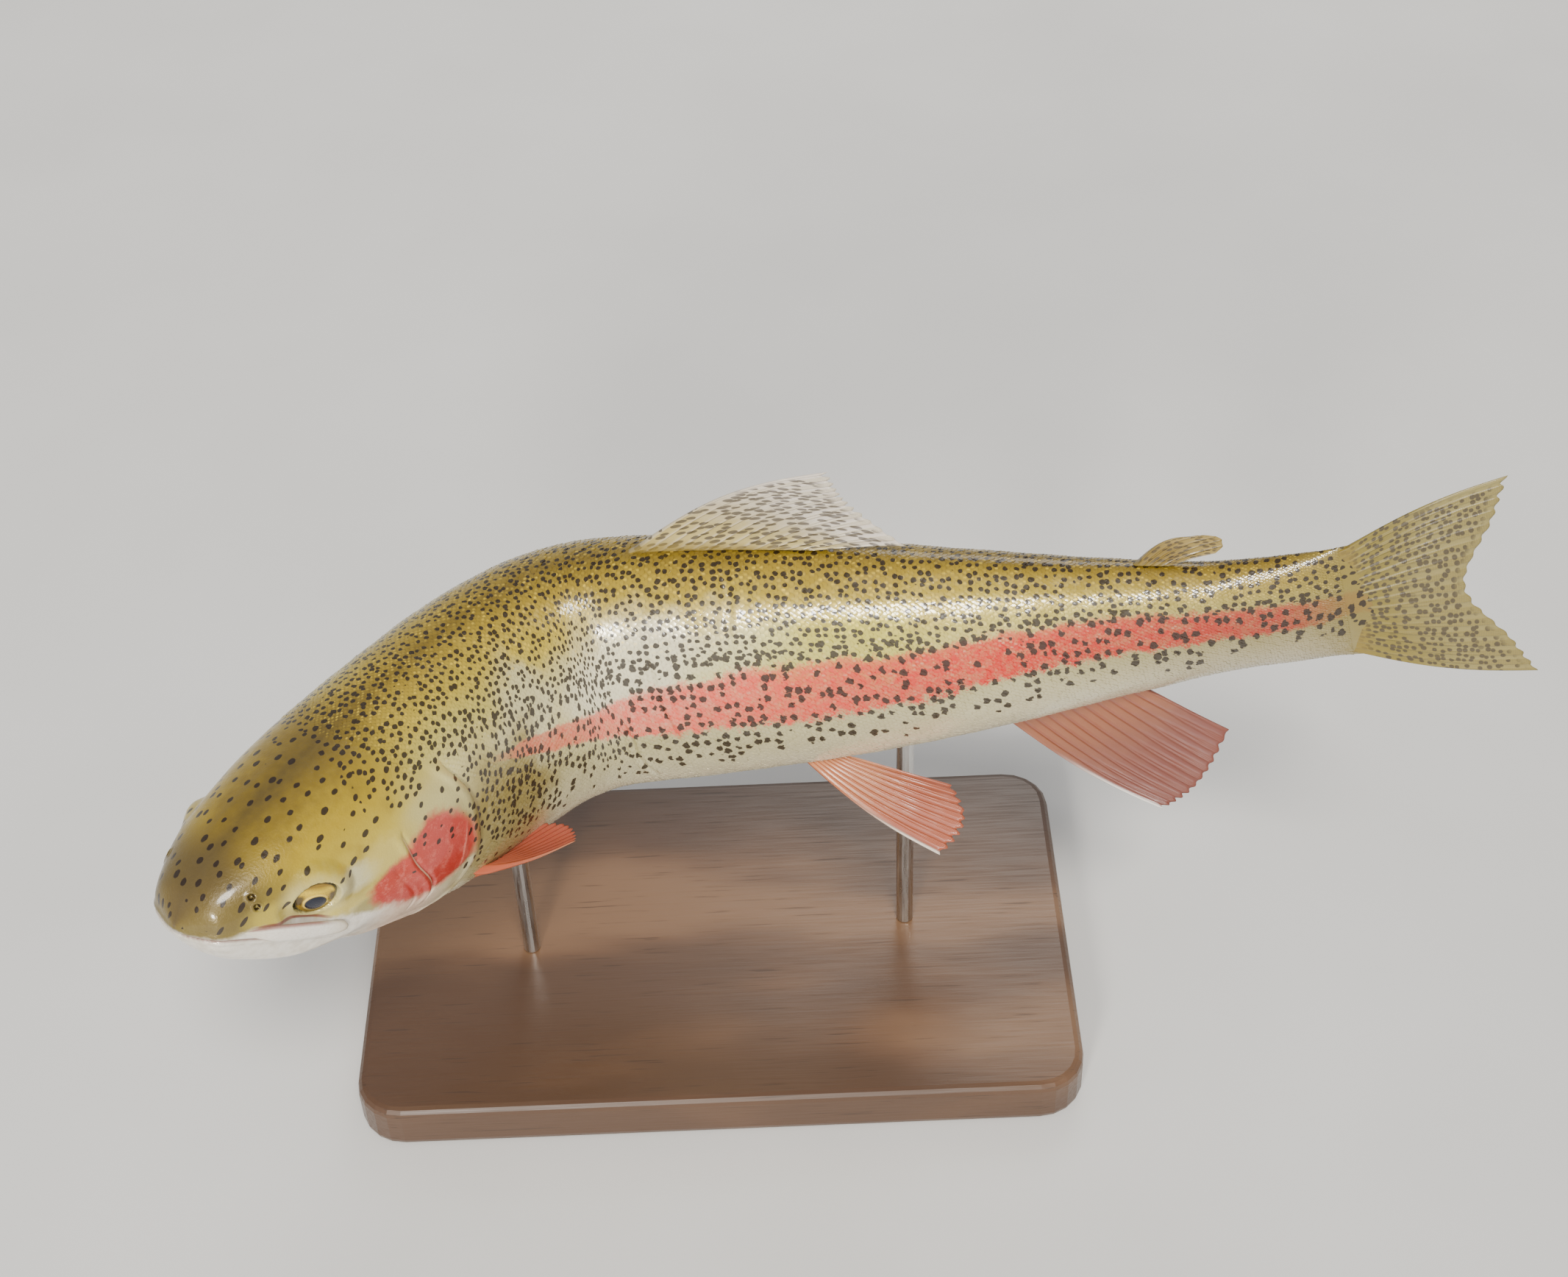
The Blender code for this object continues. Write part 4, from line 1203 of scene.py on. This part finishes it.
share = np.linspace(0, 1, MAXILLA_ROWS)[:, None]
turned = np.arange(2 * MAXILLA_COLUMNS)[None, :] * math.pi / MAXILLA_COLUMNS
station = MAXILLA_STATIONS[0] + (MAXILLA_STATIONS[1] - MAXILLA_STATIONS[0]) * share
middle = MAXILLA_HEIGHTS[0] + (MAXILLA_HEIGHTS[1] - MAXILLA_HEIGHTS[0]) * share
middle = middle + MAXILLA_ARCH * np.sin(math.pi * share)
half_height = MAXILLA_HALF[0] + MAXILLA_HALF[1] * np.sin(math.pi * np.minimum(share * 0.75 + 0.08, 1))
ends = np.sqrt(np.clip(1 - (np.clip(share - 0.90, 0, 1) / 0.1) ** 2, 0, 1))
ends = ends * np.sqrt(np.clip(share / 0.30, 0, 1))
height = middle + half_height * ends * np.cos(turned)
bone_angle = angle_at_height(station, height)
full = np.sign(np.sin(turned)) * np.abs(np.sin(turned)) ** 0.6 * ends ** 0.5
lift = MAXILLA_SEAT + full * np.where(full > 0, MAXILLA_THICKNESS - MAXILLA_SEAT, 0.5)
lift = lift + 0.18 * hump(np.cos(turned) - 0.55, 0.22) * (full > 0) * ends
lift = lift - 0.75 * smooth_step(0.30, 0.0, share)
bone_station = np.broadcast_to(station, height.shape)
bone = form(bone_station, bone_angle) + outward(bone_station, bone_angle) * lift[..., None] * MM
bone_hubs = np.stack([bone[0].mean(0), bone[-1].mean(0)])
bone_points = np.concatenate([bone.reshape(-1, 3), bone_hubs])
around = np.arange(2 * MAXILLA_COLUMNS)
bone_faces = (
    grid_faces(MAXILLA_ROWS, len(around), closed=True),
    fan(len(bone_points) - 2, around),
    fan(len(bone_points) - 1, around + (MAXILLA_ROWS - 1) * len(around))[:, ::-1],
)
bone_marks = stacked(share, np.cos(turned), 0).reshape(-1, 3)
bone_marks = np.concatenate([bone_marks, [[0, 0, 0], [1, 0, 0]]])


def put_both_sides(name, points, faces, marks, material, node):
    """A piece for the left side and its mirrored twin for the right, each in place of its carved node."""
    for side, sign in (("left", 1), ("right", -1)):
        sided = points * np.array([1, sign, 1])
        piece = make_mesh(f"{name}_{side}", bend(sided) + PLACE, faces, marks)
        piece.data.materials.append(material)
        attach(piece, "root")
        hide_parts(f"{node}_{side}")


put_both_sides("jaw_plate", bone_points, bone_faces, {"bone": bone_marks}, jaw_material, "maxilla")

# ---------------------------------------------------------------------------------------------------
# Eyes. Glass eyes as a taxidermist sets them: a flattened ball with a gold iris, broad above and thin
# below, dark bars before and behind the pupil, and a black lens that stands a little proud.

# In millimetres: the ball's radius, its half depth, how far its middle lies under the skin, and the
# pupil's half width and height and how far its middle is off the ball's
EYE_RADIUS = 7.6
EYE_HALF_DEPTH = 4.7
EYE_SUNK = 3.6
PUPIL_SIZE = (3.25, 2.85)
PUPIL_OFF = (-0.35, -0.75)
EYE_RINGS = 44
EYE_AROUND = 96
ring = np.linspace(0, 1, EYE_RINGS)[1:, None]
spoke = (np.arange(EYE_AROUND) * 2 * math.pi / EYE_AROUND)[None, :]
polar = ring * math.pi
radius = EYE_RADIUS * np.sin(polar)
depth = EYE_HALF_DEPTH * np.cos(polar)
tailward_mm = -radius * np.cos(spoke)
upward_mm = radius * np.sin(spoke)
pupil_tailward = (tailward_mm - PUPIL_OFF[0]) / PUPIL_SIZE[0]
pupil_upward = (upward_mm - PUPIL_OFF[1]) / PUPIL_SIZE[1]
from_pupil = np.hypot(pupil_tailward, pupil_upward)
front = depth > 0
dish = -0.42 * smooth_step(5.9, 4.9, radius) * smooth_step(0.9, 1.25, from_pupil)
lens = 0.10 * smooth_step(1.05, 0.6, from_pupil)
depth = depth + np.where(front, dish + lens, 0)
ball = (eye_surface + (-EYE_SUNK * MM + depth[..., None] * MM) * eye_outward
        - tailward_mm[..., None] * MM * eye_forward + upward_mm[..., None] * MM * eye_upward)
ball_pole = eye_surface + (EYE_HALF_DEPTH - EYE_SUNK + 0.1) * MM * eye_outward
ball_points = np.concatenate([ball.reshape(-1, 3), [ball_pole]])
ball_faces = (
    grid_faces(len(ball), EYE_AROUND, closed=True),
    fan(len(ball_points) - 1, np.arange(EYE_AROUND)),
)
eye_marks = stacked(tailward_mm, upward_mm, 0).reshape(-1, 3)
eye_marks = np.concatenate([eye_marks, [[0, 0, 0]]])

eye_material, tree, shader = new_material("eye")
tailward_here, upward_here = split(named(tree, "iris", "Vector"))[:2]
off_tail = (tailward_here - PUPIL_OFF[0]) * (1 / PUPIL_SIZE[0])
off_up = (upward_here - PUPIL_OFF[1]) * (1 / PUPIL_SIZE[1])
reach = (off_tail * off_tail + off_up * off_up).step("SQRT")
radial = (tailward_here * tailward_here + upward_here * upward_here).step("SQRT")
fibre = noise(tree, joined(tailward_here * 1.5, upward_here * 1.5, 0.0), 1.4, 4.0)
gold = shades(upward_here, (
    (-6, (0.10, 0.06, 0.008)),
    (-2.6, (0.26, 0.16, 0.015)),
    (1.0, (0.42, 0.27, 0.02)),
    (3.4, (0.68, 0.47, 0.03)),
    (5.0, (0.24, 0.14, 0.01)),
))
gold = mixed(fibre.ramp(0.45, 0.75, 0.0, 0.45), gold, (0.16, 0.10, 0.03))
bars = tailward_here.step("ABSOLUTE").ramp(3.2, 4.6) * upward_here.step("ABSOLUTE").ramp(2.6, 1.2)
gold = mixed(bars * 0.85, gold, (0.035, 0.025, 0.015))
gold = mixed(reach.ramp(1.26, 1.12) * 0.75, gold, (0.82, 0.58, 0.10))
gold = mixed(radial.ramp(5.6, 6.3), gold, (0.03, 0.025, 0.015))
colour = mixed(reach.ramp(1.08, 0.98), gold, (0.004, 0.006, 0.016))
feed(shader.inputs["Base Color"], colour)
feed(shader.inputs["Metallic"], reach.ramp(1.0, 1.15, 0.0, 0.30))
feed(shader.inputs["Roughness"], fibre.ramp(0.2, 0.8, 0.22, 0.38))
shader.inputs["Specular IOR Level"].default_value = 0.2
shader.inputs["Coat Weight"].default_value = 0.5
shader.inputs["Coat Roughness"].default_value = 0.02
put_both_sides("eyeball", ball_points, ball_faces, {"iris": eye_marks}, eye_material, "eye")

# ---------------------------------------------------------------------------------------------------
# Fins. Thin webs stretched over jointed rays that branch towards the rim, cast in tinted resin and
# let into the body at their roots. The web is clearer and thinner than the rays, its rim a little frayed.

# Metres from body to fin, points from ray to ray and along a ray, and the share of a ray that is in the body
GAP = 0.0004
FIN_SAMPLES = 14
FIN_STEPS = 46
ROOT_SHARE = -0.09
# In metres: the thickness of the midline fins at their roots, half that of any web at its rim, how far a
# ray stands over the web, and how much less than half the root's thickness the web's taper starts from
MEDIAN_ROOT = 0.0028
RIM_HALF = 0.00010
RAY_HEIGHT = 0.00024
TAPER_TRIM = 0.00016


def make_fin_marks():
    """Colours of a fin from its root to its rim, with its rays, their joints and its dashes."""
    group, given, out = new_group(
        "fin web and rays",
        [("Base", "NodeSocketColor", (1, 1, 1, 1)), ("Outer", "NodeSocketColor", (1, 1, 1, 1)),
         ("Ray", "NodeSocketColor", (1, 1, 1, 1)), ("Edge", "NodeSocketColor", (1, 1, 1, 1)),
         ("Spot Colour", "NodeSocketColor", (0, 0, 0, 1)), ("Web", "NodeSocketFloat", 0.7),
         ("Spots", "NodeSocketFloat", 1.0), ("Dashes", "NodeSocketFloat", 1.0)],
        [("Colour", "NodeSocketColor"), ("Alpha", "NodeSocketFloat"), ("Roughness", "NodeSocketFloat"),
         ("Height", "NodeSocketFloat")],
    )
    given = {socket.name: Layer(group, socket) for socket in given.outputs if socket.name}
    ray_count, reach, ridge = split(named(group, "fin_place", "Vector"))
    across, along, lead = split(named(group, "fin_size", "Vector"))
    cloud = noise(group, joined(across, along, 0.0), 0.22, 3.0)
    web = mixed((reach + (cloud - 0.5) * 0.3).ramp(0.15, 0.75), given["Base"], given["Outer"])
    colour = mixed(ridge * 0.75, web, given["Ray"])
    joints = (along * 1.4 + ray_count * 0.5).step("FRACT")
    joint = (joints - 0.5).step("ABSOLUTE").ramp(0.36, 0.48) * reach.ramp(0.2, 0.35) * ridge
    colour = mixed(joint * 0.35, colour, (0.10, 0.08, 0.05))
    node = group.nodes.new("ShaderNodeTexVoronoi")
    node.voronoi_dimensions = "2D"
    dash_place = joined((ray_count + 0.5) * given["Dashes"], along * given["Dashes"] * 0.26, 0.0)
    feed(node.inputs["Vector"], dash_place)
    node.inputs["Scale"].default_value = 1.0
    node.inputs["Randomness"].default_value = 0.75
    luck = split(Layer(group, node.outputs["Color"]))
    dash = (Layer(group, node.outputs["Distance"]) - luck[1] * 0.12).ramp(0.36, 0.25)
    dash = dash * luck[0].ramp(0.88, 0.86) * reach.ramp(0.97, 0.88) * given["Spots"]
    colour = mixed(dash * 0.85, colour, given["Spot Colour"])
    colour = mixed(lead.ramp(0.25, 0.9) * reach.ramp(0.25, 0.80), colour, given["Edge"])
    colour = mixed(reach.ramp(0.12, 0.0) * given["Spots"] * 0.75, colour, (0.22, 0.15, 0.018))
    alpha = given["Web"] + (ridge * 0.6 + dash + reach.ramp(0.5, 0.05)) * given["Web"].inverted()
    feed(out.inputs["Colour"], colour)
    feed(out.inputs["Alpha"], alpha.step("MINIMUM", 1.0))
    feed(out.inputs["Roughness"], cloud.ramp(0.2, 0.8, 0.30, 0.48))
    feed(out.inputs["Height"], ridge + joint * -0.3 + cloud * 0.2)
    return group


FIN_MARKS = make_fin_marks()


def fin_material(name, base, outer, ray, web_solid, spot, dashes=1.0, edge=None):
    """Web and rays of one fin: its colours, and the web's solidity, from 0 (clear) to 1."""
    material, tree, shader = new_material(name)
    marks = place_group(tree, FIN_MARKS, Base=base, Outer=outer, Ray=ray, Edge=edge or outer, Web=web_solid,
                        Spots=spot, Dashes=dashes, Spot_Colour=(0.035, 0.022, 0.012))
    feed(shader.inputs["Base Color"], marks["Colour"])
    feed(shader.inputs["Alpha"], marks["Alpha"])
    feed(shader.inputs["Roughness"], marks["Roughness"])
    shader.inputs["Coat Weight"].default_value = 0.35
    shader.inputs["Coat Roughness"].default_value = 0.15
    raise_bump(tree, shader, marks["Height"], 0.00025)
    return material


def ray_ridge(count, reach, fork):
    """How high the rays stand over the web: each parts in two, and again near the rim."""
    near = count - np.round(count)
    first_fork = smooth_step(fork, fork + 0.3, reach) * 0.15
    second_fork = smooth_step(fork + 0.30, fork + 0.55, reach) * 0.075
    off = np.abs(np.abs(np.abs(near) - first_fork) - second_fork)
    return hump(off, 0.15 - 0.065 * reach)


def closed_blade(sides, fin_place, fin_size):
    """One closed mesh from the two faces of a fin."""
    rows, columns = sides[0].shape[:2]
    size = rows * columns
    face = grid_faces(rows, columns, closed=False)
    rim = np.concatenate([
        np.arange(columns),
        np.arange(1, rows) * columns + columns - 1,
        (rows - 1) * columns + np.arange(columns - 2, -1, -1),
        np.arange(rows - 2, 0, -1) * columns,
    ])
    following = np.roll(rim, -1)
    edge = np.stack([rim, following, following + size, rim + size], 1)
    points = np.concatenate([sides[0].reshape(-1, 3), sides[1].reshape(-1, 3)])
    marks = {
        "fin_place": np.tile(fin_place.reshape(-1, 3), (2, 1)),
        "fin_size": np.tile(fin_size.reshape(-1, 3), (2, 1)),
    }
    return points, (face, face[:, ::-1] + size, edge[:, ::-1]), marks


def fin_blade(base, tip, bow, rays, root, fork, fray, curl, seed, sunk=-0.02):
    """A fin of the straight fish: its points, its faces and what its material reads.

    base, tip and bow are functions of the share from the leading ray (0) to the last (1). The rays part
    at the share fork of their length, the rim frays by fray, and the web waves by curl millimetres.
    """
    chance = np.random.default_rng(seed)
    columns = (rays - 1) * FIN_SAMPLES + 1
    share = np.linspace(0, 1, columns)
    count = share * (rays - 1)
    start = base(share)
    end = tip(share)
    notch = 0.5 - 0.5 * np.cos(2 * math.pi * count)
    half_rays = np.arange(0, rays, 0.5)
    torn = np.interp(count, half_rays, chance.uniform(0, 1, len(half_rays)))
    extent = 1 - fray * (0.35 * notch + 0.65 * torn * notch)
    reach = (ROOT_SHARE + (1 - ROOT_SHARE) * np.linspace(0, 1, FIN_STEPS))[:, None] * extent
    arch = np.sin(math.pi * np.clip(reach, 0, 1))[..., None]
    middle = start + (end - start) * reach[..., None] + bow(share) * arch
    ridge = ray_ridge(count, reach, fork)
    along = np.gradient(middle, axis=0)
    across = np.gradient(middle, axis=1)
    normal = unit(np.cross(along, across))
    wave = curl * MM * np.sin(2.3 * math.pi * share + 1.2 + 1.5 * reach) * np.clip(reach, 0, 1) ** 2
    middle = middle + normal * wave[..., None]
    thin = np.clip(1 - reach, 0, 1)
    edge = np.sqrt(np.clip(np.minimum(share, 1 - share) / 0.012, 0, 1))
    grooved = smooth_step(0.0, 0.24, reach)
    body = (root / 2 - TAPER_TRIM) * thin**2.2 * (1 - 0.28 * grooved * (1 - ridge)) + RIM_HALF
    half = (body + RAY_HEIGHT * grooved * ridge * (1 - 0.45 * reach)) * (0.35 + 0.65 * edge)
    half = half * np.clip((1.02 - reach / extent) / 0.06, 0.25, 1)
    half = half * (0.08 + 0.92 * smooth_step(ROOT_SHARE, sunk, reach))
    sides = [middle + normal * half[..., None], middle - normal * half[..., None]]
    ahead = np.linalg.norm(end - start, axis=-1) / MM * reach
    spread = np.concatenate([[0], np.cumsum(np.linalg.norm(np.diff((start + end) / 2, axis=0), axis=1))]) / MM
    leading = hump(share, 0.045)
    fin_place = stacked(count, reach, ridge)
    fin_size = stacked(spread, ahead, leading)
    return closed_blade(sides, fin_place, fin_size)


def median_fin(name, stations, rim, material, slot, bow, lean=0.0, **make):
    """A fin on the midline, under the belly if it leans. Its rim is a table: share, station, height."""
    rim_station = table_curve(rim, 1)
    rim_height = table_curve(rim, 2)
    edge, sign = (belly, -1) if lean else (back, 1)

    def point(station, height):
        z = edge(station) + sign * (height + GAP * 1.5 / LENGTH)
        return stacked(station, -lean * height, z) * LENGTH

    def base(share):
        return point(stations[0] + (stations[1] - stations[0]) * share, 0 * share)

    def tip(share):
        return point(rim_station(share), rim_height(share))

    def ray_bow(share):
        return stacked(0, 0, sign * bow * (1 - share) * LENGTH)

    points, faces, marks = fin_blade(base, tip, ray_bow, root=MEDIAN_ROOT, **make)
    piece = make_mesh(name + "_web", bend(points) + PLACE, faces, marks)
    piece.data.materials.append(material)
    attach(piece, "root")
    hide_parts(name)


DORSAL_RIM = (
    (0, 0.567, 0.064),
    (0.25, 0.571, 0.052),
    (0.5, 0.576, 0.040),
    (0.75, 0.588, 0.024),
    (1, 0.608, 0.006),
)
ADIPOSE_RIM = (
    (0, 0.793, 0.0225),
    (0.2, 0.8035, 0.0238),
    (0.4, 0.8105, 0.0222),
    (0.6, 0.8140, 0.0185),
    (0.8, 0.8140, 0.0135),
    (1, 0.8085, 0.0080),
)
ANAL_RIM = ((0, 0.750, 0.088), (0.3, 0.765, 0.083), (0.65, 0.784, 0.066), (1, 0.800, 0.042))
dorsal_material = fin_material(
    "dorsal fin", base=(0.46, 0.36, 0.12), outer=(0.74, 0.66, 0.56), ray=(0.60, 0.52, 0.36),
    web_solid=0.76, spot=1.0, dashes=1.25,
)
adipose_material = fin_material(
    "adipose fin", base=(0.20, 0.13, 0.018), outer=(0.30, 0.21, 0.05), ray=(0.24, 0.16, 0.03),
    web_solid=0.97, spot=0.9, dashes=1.6,
)
# the anal fin's own ruddy brown, made darker still as painted shade
anal_material = fin_material(
    "anal fin", base=(0.26, 0.085, 0.035), outer=(0.18, 0.038, 0.022), ray=(0.21, 0.052, 0.030),
    web_solid=0.84, spot=0.0, edge=(0.82, 0.78, 0.72),
)
median_fin(
    "dorsal_fin", (0.425, 0.550), DORSAL_RIM, dorsal_material, "fin", bow=0.013,
    rays=13, fork=0.35, fray=0.045, curl=0.8, seed=5,
)
median_fin(
    "adipose_fin", (0.757, 0.778), ADIPOSE_RIM, adipose_material, "fin", bow=0.006,
    rays=6, fork=2.0, fray=0.01, curl=0.2, seed=6,
)
median_fin(
    "anal_fin", (0.652, 0.748), ANAL_RIM, anal_material, "ruddy_fin", bow=0.008, lean=0.35,
    rays=12, fork=0.35, fray=0.03, curl=0.8, seed=7,
)

TAIL_RIM = ((0, 0.998, 0.084), (0.2, 0.986, 0.055), (0.5, 0.962, 0), (0.8, 0.986, -0.055), (1, 0.998, -0.084))
TAIL_ROOT = 0.890 + GAP / LENGTH
TAIL_ROOT_HALF = 0.046
TAIL_BOW = 0.006
tail_rim_station = table_curve(TAIL_RIM, 1)
tail_rim_height = table_curve(TAIL_RIM, 2)
points, faces, marks = fin_blade(
    lambda share: stacked(TAIL_ROOT, 0, TAIL_ROOT_HALF * (1 - 2 * share)) * LENGTH,
    lambda share: stacked(tail_rim_station(share), 0, tail_rim_height(share)) * LENGTH,
    lambda share: stacked(0, 0, TAIL_BOW * (1 - 2 * share) * LENGTH),
    rays=17, root=0.0020, fork=0.25, fray=0.035, curl=0.6, seed=8,
)
tail = make_mesh("tail_fin_web", bend(points) + PLACE, faces, marks)
tail.data.materials.append(fin_material(
    "tail fin", base=(0.21, 0.160, 0.022), outer=(0.29, 0.235, 0.075), ray=(0.23, 0.175, 0.035),
    web_solid=0.90, spot=1.0, dashes=1.7,
))
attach(tail, "root")
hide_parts("tail_fin")

# Paired fins: where the base starts and ends (station, degrees round from the back), then how far the
# leading and the last ray reach from there (tailward, outward, down), as shares of the length
PAIRED_FINS = {
    "pectoral_fin": (((0.209, 124), (0.217, 143)), ((0.081, 0.025, 0.016), (0.063, 0.010, -0.009))),
    "pelvic_fin": (((0.512, 151), (0.536, 158)), ((0.090, 0.048, 0.052), (0.074, 0.006, 0.030))),
}
# How far the rim swells out between its ends, how far the rays bow, and how deep the roots lie (mm)
PAIRED_SWELL = np.array([0.013, -0.003, -0.001])
PAIRED_BOW = np.array([0, -0.004, -0.004])
FIN_CLEAR = -1.3
pectoral_material = fin_material(
    "pectoral fin", base=(0.46, 0.10, 0.030), outer=(0.34, 0.060, 0.030), ray=(0.44, 0.085, 0.035),
    web_solid=0.88, spot=0.0, edge=(0.52, 0.18, 0.09),
)
pelvic_material = fin_material(
    "pelvic fin", base=(0.52, 0.20, 0.08), outer=(0.40, 0.09, 0.04), ray=(0.44, 0.11, 0.05),
    web_solid=0.84, spot=0.0, edge=(0.80, 0.70, 0.60),
)
for name, material in (("pectoral_fin", pectoral_material), ("pelvic_fin", pelvic_material)):
    places, reaches = PAIRED_FINS[name]
    roots = [
        form(station, angle) + outward(np.array(station), angle) * FIN_CLEAR * MM for station, angle in places
    ]
    tips = [root + np.array([a, -b, -c]) * LENGTH for root, (a, b, c) in zip(roots, reaches)]
    points, faces, marks = fin_blade(
        lambda share: roots[0] + (roots[1] - roots[0]) * share[:, None],
        lambda share: tips[0] + (tips[1] - tips[0]) * share[:, None]
        + PAIRED_SWELL * LENGTH * np.sin(math.pi * share)[:, None],
        lambda share: PAIRED_BOW * LENGTH * (1 - share)[:, None],
        rays=10, root=0.0040, fork=0.35, fray=0.04, curl=0.5, seed=9, sunk=0.14,
    )
    put_both_sides(name + "_web", points, faces, marks, material, name)

# ---------------------------------------------------------------------------------------------------
# Stand. A walnut board with eased edges, oiled, and two brushed steel rods that are let into it and into
# the belly. Board and rods are the carved solids themselves, which get their wood and steel here.


def position(tree):
    """Where each point is in the room."""
    return Layer(tree, tree.nodes.new("ShaderNodeNewGeometry").outputs["Position"])


wood_material, tree, shader = new_material("walnut")
across, deep, high = split(position(tree))
wander = noise(tree, joined(across * 3, deep * 9, high * 9), 2.2, 3.0)
drift = noise(tree, joined(across * 1.2, deep * 6, high * 4), 1.5, 2.0)
figure = (deep * 46 + wander * 7 + drift * 6).step("SINE").ramp(-1.0, 1.0)
pores = noise(tree, joined(across * 45, deep * 1100, high * 1100), 1.0, 2.0)
colour = shades(figure, (
    (0.0, (0.075, 0.036, 0.017)),
    (0.55, (0.125, 0.062, 0.029)),
    (1.0, (0.185, 0.098, 0.048)),
))
colour = mixed(pores.ramp(0.62, 0.74, 0.0, 0.55), colour, (0.03, 0.014, 0.007))
feed(shader.inputs["Base Color"], colour)
feed(shader.inputs["Roughness"], pores.ramp(0.3, 0.8, 0.34, 0.52))
shader.inputs["Coat Weight"].default_value = 0.25
shader.inputs["Coat Roughness"].default_value = 0.25
raise_bump(tree, shader, pores.inverted(), 0.00012)

steel_material, tree, shader = new_material("brushed steel")
across, deep, high = split(position(tree))
brush = noise(tree, joined(across * 900, deep * 900, high * 60), 1.0, 3.0)
feed(shader.inputs["Base Color"], shades(brush, ((0.2, (0.42, 0.42, 0.41)), (0.8, (0.66, 0.66, 0.65)))))
feed(shader.inputs["Roughness"], brush.ramp(0.2, 0.8, 0.22, 0.40))
shader.inputs["Metallic"].default_value = 1.0
raise_bump(tree, shader, brush, 0.00004, 0.4)
for name, material in (
    ("stand_base", wood_material),
    ("stand_rod_front", steel_material),
    ("stand_rod_rear", steel_material),
):
    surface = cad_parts[name].data
    surface.materials.clear()
    surface.materials.append(material)

# ---------------------------------------------------------------------------------------------------
# Room. A plain pale floor, a broad far lamp high up, a smaller one before the fish that glints on the wet
# flank, a weak one from behind, and the camera looking down on the fish's back and left side.

FLOOR_RADIUS = 40.0
FLOOR_SIDES = 96
FLOOR_HEIGHT = -0.0002
angles = np.arange(FLOOR_SIDES) * 2 * math.pi / FLOOR_SIDES
floor_rim = stacked(np.cos(angles) * FLOOR_RADIUS, np.sin(angles) * FLOOR_RADIUS, 0)
floor_points = np.concatenate([floor_rim, [[0, 0, 0]]]) + np.array([0, 0, FLOOR_HEIGHT])
floor_fan = fan(FLOOR_SIDES, np.arange(FLOOR_SIDES))[:, ::-1]
floor = make_mesh("floor", floor_points, (floor_fan,), {}, closed=False)
floor_material, tree, shader = new_material("floor")
dust = noise(tree, position(tree), 9.0, 4.0)
feed(shader.inputs["Base Color"], shades(dust, ((0.3, (0.68, 0.67, 0.65)), (0.7, (0.72, 0.71, 0.69)))))
shader.inputs["Roughness"].default_value = 0.7
floor.data.materials.append(floor_material)

# The room is a little paler at eye level than overhead, so the floor runs into it
world = bpy.data.worlds.new("room")
bpy.context.scene.world = world
world.use_nodes = True
tree = world.node_tree
looking = tree.nodes.new("ShaderNodeTexCoord")
height_seen = split(Layer(tree, looking.outputs["Generated"]))[2]
feed(tree.nodes["Background"].inputs["Color"], shades(height_seen, (
    (0.0, (0.72, 0.715, 0.70)),
    (0.25, (0.62, 0.625, 0.63)),
    (0.7, (0.38, 0.40, 0.43)),
)))
tree.nodes["Background"].inputs["Strength"].default_value = 1.0

fish_middle = Vector(PLACE) + Vector((-0.02, -0.02, 0.0))


def set_lamp(kind, name, bearing, elevation, distance, power, colour):
    """A lamp turned to the fish. In degrees: bearing, 0 in front of its left side, and elevation."""
    light = bpy.data.lights.new(name, kind)
    light.energy = power
    light.color = colour
    lamp = bpy.data.objects.new(name, light)
    bpy.context.scene.collection.objects.link(lamp)
    flat = math.cos(math.radians(elevation))
    away = Vector((math.sin(math.radians(bearing)) * flat, -math.cos(math.radians(bearing)) * flat,
                   math.sin(math.radians(elevation))))
    lamp.location = fish_middle + away * distance
    lamp.rotation_euler = away.to_track_quat("Z", "Y").to_euler()
    return light


set_lamp("SUN", "key", 12, 56, 1.5, 2.7, (1.0, 0.96, 0.89)).angle = math.radians(15)
for disk, width in (
    (set_lamp("AREA", "front", -15, 18, 1.5, 19, (1.0, 0.97, 0.91)), 0.24),
    (set_lamp("AREA", "rim", 165, 40, 1.6, 6, (1.0, 0.97, 0.92)), 0.8),
):
    disk.shape = "DISK"
    disk.size = width

# Where the camera looks from and at: metres, and shares of the length from the fish's middle
CAMERA_ELEVATION = math.radians(42.59)
CAMERA_ROLL = math.radians(2.35)
CAMERA_DISTANCE = 1.4562 * LENGTH
CAMERA_TARGET = Vector(PLACE) + Vector((0.0100, -0.1622, 0.1598)) * LENGTH
ahead = Vector((0, math.cos(CAMERA_ELEVATION), -math.sin(CAMERA_ELEVATION)))
upright = Vector((0, math.sin(CAMERA_ELEVATION), math.cos(CAMERA_ELEVATION)))
rightward = Vector((1, 0, 0))
camera_right = rightward * math.cos(CAMERA_ROLL) - upright * math.sin(CAMERA_ROLL)
camera_up = rightward * math.sin(CAMERA_ROLL) + upright * math.cos(CAMERA_ROLL)
camera_data = bpy.data.cameras.new("camera")
camera_data.lens = 56.42
camera_data.sensor_width = 36
camera_data.clip_start = 0.01
camera = bpy.data.objects.new("camera", camera_data)
bpy.context.scene.collection.objects.link(camera)
turned_to = Matrix((camera_right, camera_up, -ahead)).transposed()
camera.rotation_euler = turned_to.to_euler()
camera.location = CAMERA_TARGET - ahead * CAMERA_DISTANCE
bpy.context.scene.camera = camera
